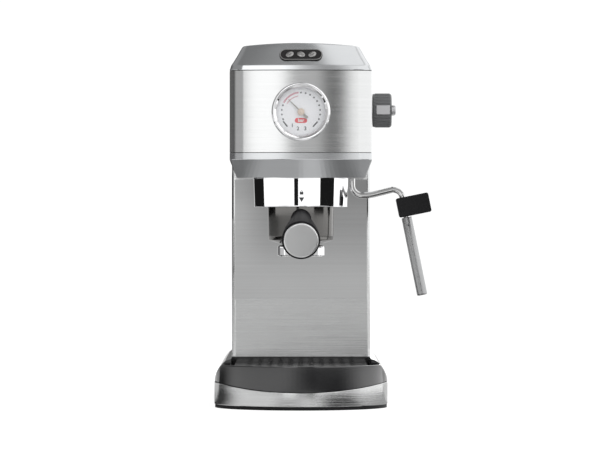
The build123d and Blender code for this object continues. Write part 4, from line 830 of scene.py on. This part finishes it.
def printed_text(name, text, x, z, size, finish_name, lift=0.0):
    """Flat lettering turned to a mesh, standing upright on the dial."""
    curve = bpy.data.curves.new(name, "FONT")
    curve.body, curve.size, curve.align_x, curve.align_y = text, size * MM, "CENTER", "CENTER"
    curve.extrude, curve.offset = 0.00003, 0.00012
    holder = bpy.data.objects.new(name + "_curve", curve)
    bpy.context.scene.collection.objects.link(holder)
    bpy.context.view_layer.update()
    mesh = bpy.data.meshes.new_from_object(holder)
    bpy.data.objects.remove(holder)
    flat = np.empty(len(mesh.vertices) * 3)
    mesh.vertices.foreach_get("co", flat)
    flat = flat.reshape(-1, 3)
    depth = (SEAT_Y + PRINT - lift) * MM - flat[:, 2]
    placed = np.stack([flat[:, 0] + x * MM, depth, flat[:, 1] + (GAUGE_Z + z) * MM], 1)
    mesh.vertices.foreach_set("co", placed.ravel())
    mesh.materials.clear()
    mesh.materials.append(FINISHES[finish_name])
    made = bpy.data.objects.new(name, mesh)
    bpy.context.scene.collection.objects.link(made)
    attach(made, "machine")
    return made


for k, (text, x, z) in enumerate((("1", -7.4, -11.6), ("2", -2.6, -14.2), ("3", 3.7, -14.2))):
    printed_text(f"dial_number_{k}", text, x, z, 4.4, "dark_ink_and_shade")
printed_text("dial_unit", "bar", 0.0, -7.2, 3.9, "ptfe", 0.08)

# %% Pointer
lean = math.radians(135)
along = np.array([math.cos(lean), 0, math.sin(lean)])
upward = np.array([-math.sin(lean), 0, math.cos(lean)])
tail = [(-7.6, 1.25), (-7.0, 1.45), (-2.0, 0.75)]
stations = np.array([*tail, (0, 0.6), (8, 0.4), (14.4, 0.22), (14.9, 0.1)])
rows = []
for side, depth in ((-1, 1.2), (1, 1.2), (1, 0.7), (-1, 0.7)):
    flat = stations[:, :1] * along + side * stations[:, 1:] * upward
    rows.append(flat + np.array([0, SEAT_Y + depth, GAUGE_Z]))
pointer = loft(np.array(rows), "sheet")
piece("gauge_pointer", [pointer], "needle", "needle", ["gauge_needle"])
hub_profile = eased([(0.9, 1.7), (3.0, 1.7), (3.0, 0.5), (0.9, 0.2)], [0, 0, 0.5, 0])
hub = loft(turned(hub_profile * [1, -1], gauge_middle, (0, -1, 0), 48), "ring")
hub_pin = loft(turned([(1.0, -1.7), (1.0, -0.3), (0.5, -0.15)], gauge_middle, (0, -1, 0), 32), "stack")
piece("pointer_hub", [hub, hub_pin], "needle", "hub", slot="brass")

# %% [markdown]
# ## Group ring and portafilter
#
# The ring is a thin polished band that tapers a little. The cup is turned, with a funnel below. Its handle
# swells towards a satin metal disc on the end.

# %% Group ring
GROUP_Y = -106.0
group_axis = ((0, GROUP_Y, 0), (0, 0, 1))
ring_profile = eased(
    [(41.2, 198.0), (40.4, 174.4), (40.6, 173.2), (39.0, 173.2), (39.1, 174.7), (39.8, 198.0)],
    [0, 0.5, 0.4, 0.4, 0.5, 0],
    6,
)
polished_ring = loft(turned(ring_profile, *group_axis, 180), "ring")
piece("group_ring", [polished_ring], "machine", "chrome", ["group_shroud"], 60)


def ring_mark(points_x, points_z):
    """A small flat sign that hugs the ring: corners in X and Z, bent to the ring's radius."""
    x, z = np.array(points_x, float), np.array(points_z, float)
    rows = []
    for lift in (0.0, 0.06):
        radius = 41.2 - (198.0 - z) * 0.8 / 23.6 + lift
        rows.append(np.stack([x, GROUP_Y - np.sqrt(radius**2 - x**2), z], 1))
    return loft(np.array(rows), "stack")


mark_x = 0.5
triangle = ring_mark([mark_x - 2.3, mark_x + 2.3, mark_x], [181.2, 181.2, 177.2])
mark_left, mark_right = mark_x - 1.5, mark_x + 1.5
body_mark = ring_mark([mark_left, mark_left, mark_right, mark_right], [183.6, 185.8, 185.8, 183.6])
loop_angle = np.linspace(0, np.pi, 9)
loop_x = np.concatenate([1.1 * np.cos(loop_angle), 0.65 * np.cos(loop_angle[::-1])]) + mark_x
loop_z = np.concatenate([1.3 * np.sin(loop_angle), 0.85 * np.sin(loop_angle[::-1])]) + 185.8
piece("lock_mark", [triangle, body_mark, ring_mark(loop_x, loop_z)], "machine", "dark_ink_and_shade", slot="plaque")

# %% Portafilter cup
cup_profile = eased(
    [(4.0, 141.8), (19.7, 141.8), (28.0, 144.6), (28.4, 147.5), (29.0, 172.0), (29.0, 186.0),
     (26.7, 186.0), (26.7, 149.0), (4.0, 146.0)],
    [0, 0.8, 0.7, 0.8, 1.0, 0.4, 0.4, 0.5, 0],
)


def lug(middle, span=30.0):
    """A short arc of metal that the brewing head's ramps carry."""
    angle = np.radians(np.linspace(middle - span / 2, middle + span / 2, 16))
    rows = []
    section = eased([(27.5, 179.0), (35.6, 179.0), (35.6, 183.5), (27.5, 183.5)], [0, 0.6, 0.6, 0], 3)
    for radius, z in section:
        x, y = radius * np.cos(angle), GROUP_Y + radius * np.sin(angle)
        rows.append(np.stack([x, y, np.full(len(angle), z)], 1))
    return loft(np.array(rows), "sheet")


slope = math.radians(8.6)
handle_dir = np.array([0.0, -math.cos(slope), -math.sin(slope)])
handle_root = np.array([0.0, GROUP_Y - 29.0, 163.7])
stub = loft(turned([(7.5, -1.5), (7.5, 5.4), (7.1, 6.0)], handle_root, handle_dir, 64), "stack")
cup = loft(turned(cup_profile, *group_axis, 160), "ring")
piece("cup_skin", [cup, lug(0), lug(180), stub], "portafilter", "dark_chrome", ["portafilter_cup"])

# %% Spout block
spout_rows = []
for inset, z in ((0.6, 131.0), (0.0, 131.6), (0.0, 137.6), (0.25, 138.9), (0.9, 139.8), (2.2, 140.3)):
    flat = rounded_box(41 - 2 * inset, 15 - 2 * inset, 7 - inset, 14)
    spout_rows.append(np.column_stack([flat[:, 0], flat[:, 1] + GROUP_Y, np.full(len(flat), z)]))
spout = [loft(np.array(spout_rows), "stack")]
spout.append(loft(turned([(7.0, 139.5), (7.0, 141.7)], *group_axis, 64), "stack"))
nozzle_profile = eased([(4.6, 135.0), (4.6, 130.4), (5.9, 130.4), (5.9, 135.0)], [0, 0.3, 0.3, 0], 3)
for x in (-12.5, 12.5):
    spout.append(loft(turned(nozzle_profile, (x, GROUP_Y, 0), (0, 0, 1), 48), "ring"))
piece("spout_skin", spout, "portafilter", "chrome", ["portafilter_spout"], 40)

# %% Handle
reach = np.linspace(6.2, 124.0, 90)
knots = np.array([(6.2, 9.0), (14, 8.7), (22, 8.6), (58, 11.4), (98, 14.6), (118, 15.8), (124, 15.8)])
radius = np.interp(reach, knots[:, 0], knots[:, 1])
kernel = np.hanning(15) / np.hanning(15).sum()
radius = np.convolve(np.pad(radius, 7, "edge"), kernel, "valid")
ribs = 0.28 * np.clip(np.cos((reach - 9.0) * 2 * np.pi / 2.6), 0, 1) * (reach < 17.5) * (reach > 7.6)
profile = np.column_stack([radius - 0.28 * (reach < 17.5) + ribs, reach])
profile = np.vstack([[8.0, 6.0], profile, [15.4, 124.5], [14.5, 124.6]])
handle = loft(turned(profile, handle_root, handle_dir, 96), "stack")
piece("handle_skin", [handle], "portafilter", "handle_black", ["handle_grip"])
cap_profile = eased([(14.3, 123.8), (14.3, 126.6), (0.6, 126.6)], [0, 1.5, 0], 8)
cap = loft(turned(cap_profile, handle_root, handle_dir, 128), "stack")
piece("handle_end", [cap], "portafilter", "handle_cap", ["handle_cap"])

# %% [markdown]
# ## Steam tap and wand
#
# The knob is ribbed round its rim: its radius follows a cosine of the angle. The wand is a pipe bent in one
# plane, given by straight runs joined with arcs.

# %% Steam knob
KNOB_R, RIB_DEPTH = 14.8, 0.32
KNOB_EDGE = [(62.2, 1.2, 0), (62.3, 0.5, 0), (62.8, 0.1, 0), (64.0, 0.0, 0)]
KNOB_RIM = [(64.4, 0.0, 1), (76.4, 0.0, 1), (77.0, 0.0, 0.4)]
KNOB_FACE = [(77.6, 0.25, 0), (78.2, 0.8, 0), (78.5, 1.6, 0)]
angle = np.linspace(0, 2 * np.pi, 336, endpoint=False)
rib = (np.clip(1.25 * np.cos(28 * angle) - 0.1, -1, 1) - 1) * RIB_DEPTH
rows = []
for x, cut, share in KNOB_EDGE + KNOB_RIM + KNOB_FACE:
    radius = KNOB_R - cut + share * rib - RIB_DEPTH * (1 - share)
    y, z = KNOB_Y + radius * np.cos(angle), KNOB_Z + radius * np.sin(angle)
    rows.append(np.stack([np.full_like(angle, x), y, z], 1))
piece("knob_skin", [loft(np.array(rows), "stack")], "knob", "knob_plastic", ["steam_knob"], 40)
bar = slab(29.0, 8.3, 3.6, 78.0, 82.0, 1.1, (0, KNOB_Y, KNOB_Z), (0, 1, 0), (0, 0, 1), (1, 0, 0))
insert = slab(11.6, 8.0, 0.8, 13.0, 15.05, 0.5, (71.0, KNOB_Y, KNOB_Z), (1, 0, 0), (0, 0, 1), (0, -1, 0))
piece("knob_insert", [bar, insert], "knob", "silver_trim", slot="button")

# %% Steam wand
WAND_Y, PIPE_R = -94.0, 2.75
drop = np.array([0.199, -0.98]) / math.hypot(0.199, 0.98)
sleeve_top = np.array([91.8, 164.6])
elbow = sleeve_top + (190.0 - 164.6) * drop / drop[1]
corners = np.array([(44.3, 211.0), (44.3, 182.9), (61.0, 183.7), elbow, sleeve_top + 58 * drop])


def bent_run(corners, radii, steps=28):
    """Centre line of a bent pipe: straight runs joined by true arcs of the given radii."""
    runs = [corners[:1]]
    for here, back, ahead, radius in zip(corners[1:-1], corners[:-2], corners[2:], radii):
        a = (back - here) / np.linalg.norm(back - here)
        b = (ahead - here) / np.linalg.norm(ahead - here)
        half = math.acos(float(np.dot(a, b))) / 2
        middle = here + (a + b) / np.linalg.norm(a + b) * radius / math.sin(half)
        reach = radius / math.tan(half)
        first, last = here + a * reach - middle, here + b * reach - middle
        turn = math.atan2(first[0] * last[1] - first[1] * last[0], float(np.dot(first, last)))
        t = np.linspace(0, turn, steps)[:, None]
        runs.append(middle + first * np.cos(t) + np.array([-first[1], first[0]]) * np.sin(t))
    return np.concatenate([*runs, corners[-1:]])


centre = bent_run(corners, (9.0, 24.0, 7.8))
heading = np.gradient(centre, axis=0)
heading /= np.linalg.norm(heading, axis=1)[:, None]
sideways = np.stack([-heading[:, 1], heading[:, 0]], 1)
angle = np.linspace(0, 2 * np.pi, 32, endpoint=False)
ring_x = centre[:, :1] + PIPE_R * sideways[:, :1] * np.cos(angle)
ring_z = centre[:, 1:] + PIPE_R * sideways[:, 1:] * np.cos(angle)
ring_y = WAND_Y + PIPE_R * np.sin(angle) + np.zeros_like(ring_x)
pipe = loft(np.stack([ring_x, ring_y, ring_z], -1), "stack")
piece("wand_pipe", [pipe], "wand", "steel", ["steam_pipe"])
wand_dir = np.array([drop[0], 0, drop[1]])
wand_side = np.array([-drop[1], 0, drop[0]])
sleeve_origin = np.array([sleeve_top[0], WAND_Y, sleeve_top[1]])
grip_middle = sleeve_origin - 8.9 * wand_dir + 8.1 * wand_side
grip = slab(28.5, 17.1, 1.8, -8.0, 8.0, 1.3, grip_middle, wand_side, wand_dir, (0, -1, 0))
piece("wand_grip_skin", [grip], "wand", "black_plastic", ["wand_grip"])
sleeve_profile = eased(
    [(3.3, 0.4), (4.5, 0.4), (4.5, 69.3), (1.4, 69.3), (1.4, 66.0), (3.3, 66.0)],
    [0.2, 0.5, 1.4, 0.2, 0, 0],
)
sleeve = loft(turned(sleeve_profile, sleeve_origin, wand_dir, 64), "ring")
piece("sleeve_skin", [sleeve], "sleeve", "satin_sleeve", ["froth_sleeve"])
# The air hole is not cut through the sleeve: a dark disc on its surface is painted shade that stands for
# the dark inside of the hole.
hole_middle = sleeve_origin + 7.4 * wand_dir
air_hole_painted_shade = loft(turned([(0.85, 4.2), (0.85, 4.56)], hole_middle, (0, -1, 0), 20), "stack")
piece("air_hole_painted_shade", [air_hole_painted_shade], "sleeve", "dark_ink_and_shade", slot="rubber")

# %% [markdown]
# ## Studio
#
# A pale floor and a soft sky that works like a ring of panels: a bright panel left of the camera, a darker
# gap right of it, bright panels to the right and a dark wall to the left. Cards that only reflections see
# shape the light on the polished ring, the bevel and the base. The camera sees a plain white backdrop.

# %% Floor
floor_mesh = bpy.data.meshes.new("floor")
floor_side = np.linspace(-4.0, 4.0, 9)
floor_x, floor_y = np.meshgrid(floor_side, floor_side)
floor_points = np.stack([floor_x, floor_y, np.zeros_like(floor_x)], -1).reshape(-1, 3)
floor_mesh.from_pydata(floor_points.tolist(), [], skin(9, 9, False, False).tolist())
floor = bpy.data.objects.new("floor", floor_mesh)
bpy.context.scene.collection.objects.link(floor)
pale = bpy.data.materials.new("pale_floor")
pale.use_nodes = True
pale.node_tree.nodes.clear()
seen = make_node(pale.node_tree, "ShaderNodeLightPath", {}, {}, 0)
matte = seen.make("ShaderNodeBsdfDiffuse", {}, {"Color": (0.8, 0.8, 0.8, 1.0)})
glow = seen.make("ShaderNodeEmission", {}, {"Color": (1.0, 1.0, 1.0, 1.0), "Strength": 1.24})
mixed = seen.make("ShaderNodeMixShader", {}, {0: seen * 0.75, 1: matte, 2: glow})
make_node(pale.node_tree, "ShaderNodeOutputMaterial", {}, {"Surface": mixed})
floor_mesh.materials.append(pale)

# %% Sky
world = bpy.data.worlds.new("studio")
bpy.context.scene.world = world
world.use_nodes = True
sky = world.node_tree
sky.nodes.clear()
toward = make_node(sky, "ShaderNodeTexCoord", {}, {}, 0)
sky_x, sky_y, sky_z = toward.parts()
azimuth = sky_x.math("ARCTAN2", sky_x, -1.0 * sky_y) * (180 / math.pi)
elevation = sky_z.math("ARCSINE", sky_z) * (180 / math.pi)
level = elevation.band(-30, 22, 5)
PLAIN_SKY = 0.42
WALL_PANELS = [
    (0.25, -200, 200, 3.0),
    (0.98, -18.5, -4.6, 2.2),
    (-0.10, -97, -23, 5.0),
    (-0.50, -230, -84, 16.0),
    (-0.44, 7.4, 13.6, 1.6),
    (0.77, 16.0, 200, 2.0),
]
FACET_PANELS = [(1.6, -32, -2.2, 3.0), (0.3, -2.2, 6, 2.0), (1.0, 17, 200, 3.0)]
BEVEL_PANELS = [(0.92, 14.0, 200, 2.5), (-0.12, -150, -25, 12.0)]


def panels(level, rows):
    """Light of a row of panels at one height: amount, first and last azimuth, softness."""
    total = None
    for amount, first, last, soft in rows:
        part = level * amount * azimuth.band(first, last, soft)
        total = part if total is None else total + part
    return total


light = PLAIN_SKY + panels(elevation.band(-30, 22, 5), WALL_PANELS)
light = light + panels(elevation.band(25, 47, 3), FACET_PANELS)
light = light + panels(elevation.band(50, 75, 4), BEVEL_PANELS)
camera_ray = make_node(sky, "ShaderNodeLightPath", {}, {}, 0)
strength = light * (1.0 - camera_ray) + camera_ray * 1.05
WHITE = (1.0, 1.0, 1.0, 1.0)
backdrop = make_node(sky, "ShaderNodeBackground", {}, {"Color": WHITE, "Strength": strength})
make_node(sky, "ShaderNodeOutputWorld", {}, {"Surface": backdrop})

# %% Lamps and small reflectors
lamp_data = bpy.data.lights.new("top_panel", "AREA")
lamp_data.shape, lamp_data.size, lamp_data.energy = "SQUARE", 1.0, 7.0
lamp = bpy.data.objects.new("top_panel", lamp_data)
lamp.location = (0.9, -0.6, 1.6)
lamp.rotation_euler = (Vector((0, 0, 0.15)) - lamp.location).to_track_quat("-Z", "Y").to_euler()
bpy.context.scene.collection.objects.link(lamp)
lamp.visible_glossy = False


def reflector(name, corners, strength):
    """A card that only reflections see: bright ones glow, black ones do not."""
    mesh = bpy.data.meshes.new(name)
    mesh.from_pydata((np.array(corners, float) * MM).tolist(), [], [[0, 1, 2, 3]])
    material = bpy.data.materials.new(name)
    material.use_nodes = True
    material.node_tree.nodes.clear()
    settings = {"Color": strength(material.node_tree)} if callable(strength) else {"Strength": strength}
    glow = make_node(material.node_tree, "ShaderNodeEmission", {}, settings)
    make_node(material.node_tree, "ShaderNodeOutputMaterial", {}, {"Surface": glow})
    mesh.materials.append(material)
    card = bpy.data.objects.new(name, mesh)
    bpy.context.scene.collection.objects.link(card)
    card.visible_camera = card.visible_diffuse = card.visible_shadow = card.visible_transmission = False
    return card


def behind_group(tree):
    """Grey that fades towards the top and towards the group: what the tower's upper half mirrors."""
    place = make_node(tree, "ShaderNodeTexCoord", {}, {}, 3)
    x, _, z = place.parts()
    near_group = x.step(-0.062, -0.026) * z.step(0.105, 0.165)
    return 0.655 - 0.21 * near_group - 0.10 * z.step(0.166, 0.194)


def fence(name, first, last, low, high, strength):
    """An upright card between two points of the plan."""
    (x0, y0), (x1, y1) = first, last
    reflector(name, [(x0, y0, low), (x1, y1, low), (x1, y1, high), (x0, y0, high)], strength)


def apron(name, first, last, near, far, strength):
    """A card that lies on the floor: a sector round the bowed front, between two azimuths in degrees."""
    corners = []
    for angle, radius in ((first, near), (last, near), (last, far), (first, far)):
        a = math.radians(angle)
        corners.append((radius * math.sin(a), BOW_Y - radius * math.cos(a), 0.3))
    reflector(name, corners, strength)


fence("card_white_left", (-149, -105), (-40, -262), 163, 204, 1.3)
fence("card_dark_left", (-40, -262), (-16.6, -266), 163, 204, 0.01)
fence("card_white_middle", (-16.6, -266), (105.5, -224), 163, 204, 1.3)
fence("card_dark_right", (105.5, -224), (148.5, -139), 163, 204, 0.01)
fence("card_black_left", (-149, -105), (-75, -10), 163, 204, 0.01)
fence("card_behind_group", (-60.5, -58), (60.5, -58), 92, 197.9, behind_group)
low_card = [(-150, -420, 110), (-420, -420, 110), (-420, -60, 110), (-150, -60, 110)]
reflector("card_dark_low", low_card, 0.02)


def zones(places, base, rows):
    """Light along a row of cards: a base, and zones given by amount, first, last and softness."""
    total = np.full(len(places), base)
    for amount, first, last, soft in rows:
        for sign, edge in ((1, first), (-1, last)):
            t = np.clip((places - edge) / (2 * soft) + 0.5, 0, 1)
            total += sign * amount * t * t * (3 - 2 * t)
    return total


# Under the bevel the zones are places along X; on the floor they are azimuths in degrees.
UNDER_Z, UNDER_FRONT, RING_FRONT, BESIDE_RING = 197.4, -215, -148, -98
UNDER_ZONES = [(0.3, -45, 25, 12), (0.2, 0, 20, 6), (0.2, 50, 200, 12)]
strip_x = np.linspace(-110, 110, 56)
strip_light = zones((strip_x[1:] + strip_x[:-1]) / 2, 0.25, UNDER_ZONES)
for k, (x0, x1, strength) in enumerate(zip(strip_x, strip_x[1:], strip_light)):
    rear = RING_FRONT if abs(x0 + x1) / 2 < 43 else BESIDE_RING
    plan = [(x0, rear), (x1, rear), (x1, UNDER_FRONT), (x0, UNDER_FRONT)]
    reflector(f"card_under_{k}", [(x, y, UNDER_Z) for x, y in plan], float(strength))
SECTOR, NEAR, MIDDLE, FAR_EDGE = 5, 68, 365, 940
BAND_ZONES = [(0.85, -80, -15, 20), (0.85, -5, 20, 12), (0.4, 60, 200, 10)]
TRAY_ZONES = [(1.1, -95, -5, 18), (1.5, 60, 200, 22)]
sectors = np.arange(-125, 125, SECTOR)
for title, near, far, rows in (("band", NEAR, MIDDLE, BAND_ZONES), ("tray", MIDDLE, FAR_EDGE, TRAY_ZONES)):
    for first, strength in zip(sectors.tolist(), zones(sectors + SECTOR / 2, 0.05, rows)):
        apron(f"card_{title}_{first + 125}", first, first + SECTOR, near, far, float(strength))

# %% Camera
camera_data = bpy.data.cameras.new("camera")
camera_data.sensor_width = 36.0
camera_data.lens = 198.0
camera_data.clip_start, camera_data.clip_end = 0.1, 30.0
camera = bpy.data.objects.new("camera", camera_data)
camera.location = (-0.00085, -2.965, 0.1576)
camera.rotation_euler = (math.radians(90), 0, 0)
bpy.context.scene.collection.objects.link(camera)
bpy.context.scene.camera = camera
bpy.context.scene.view_settings.view_transform = "Standard"
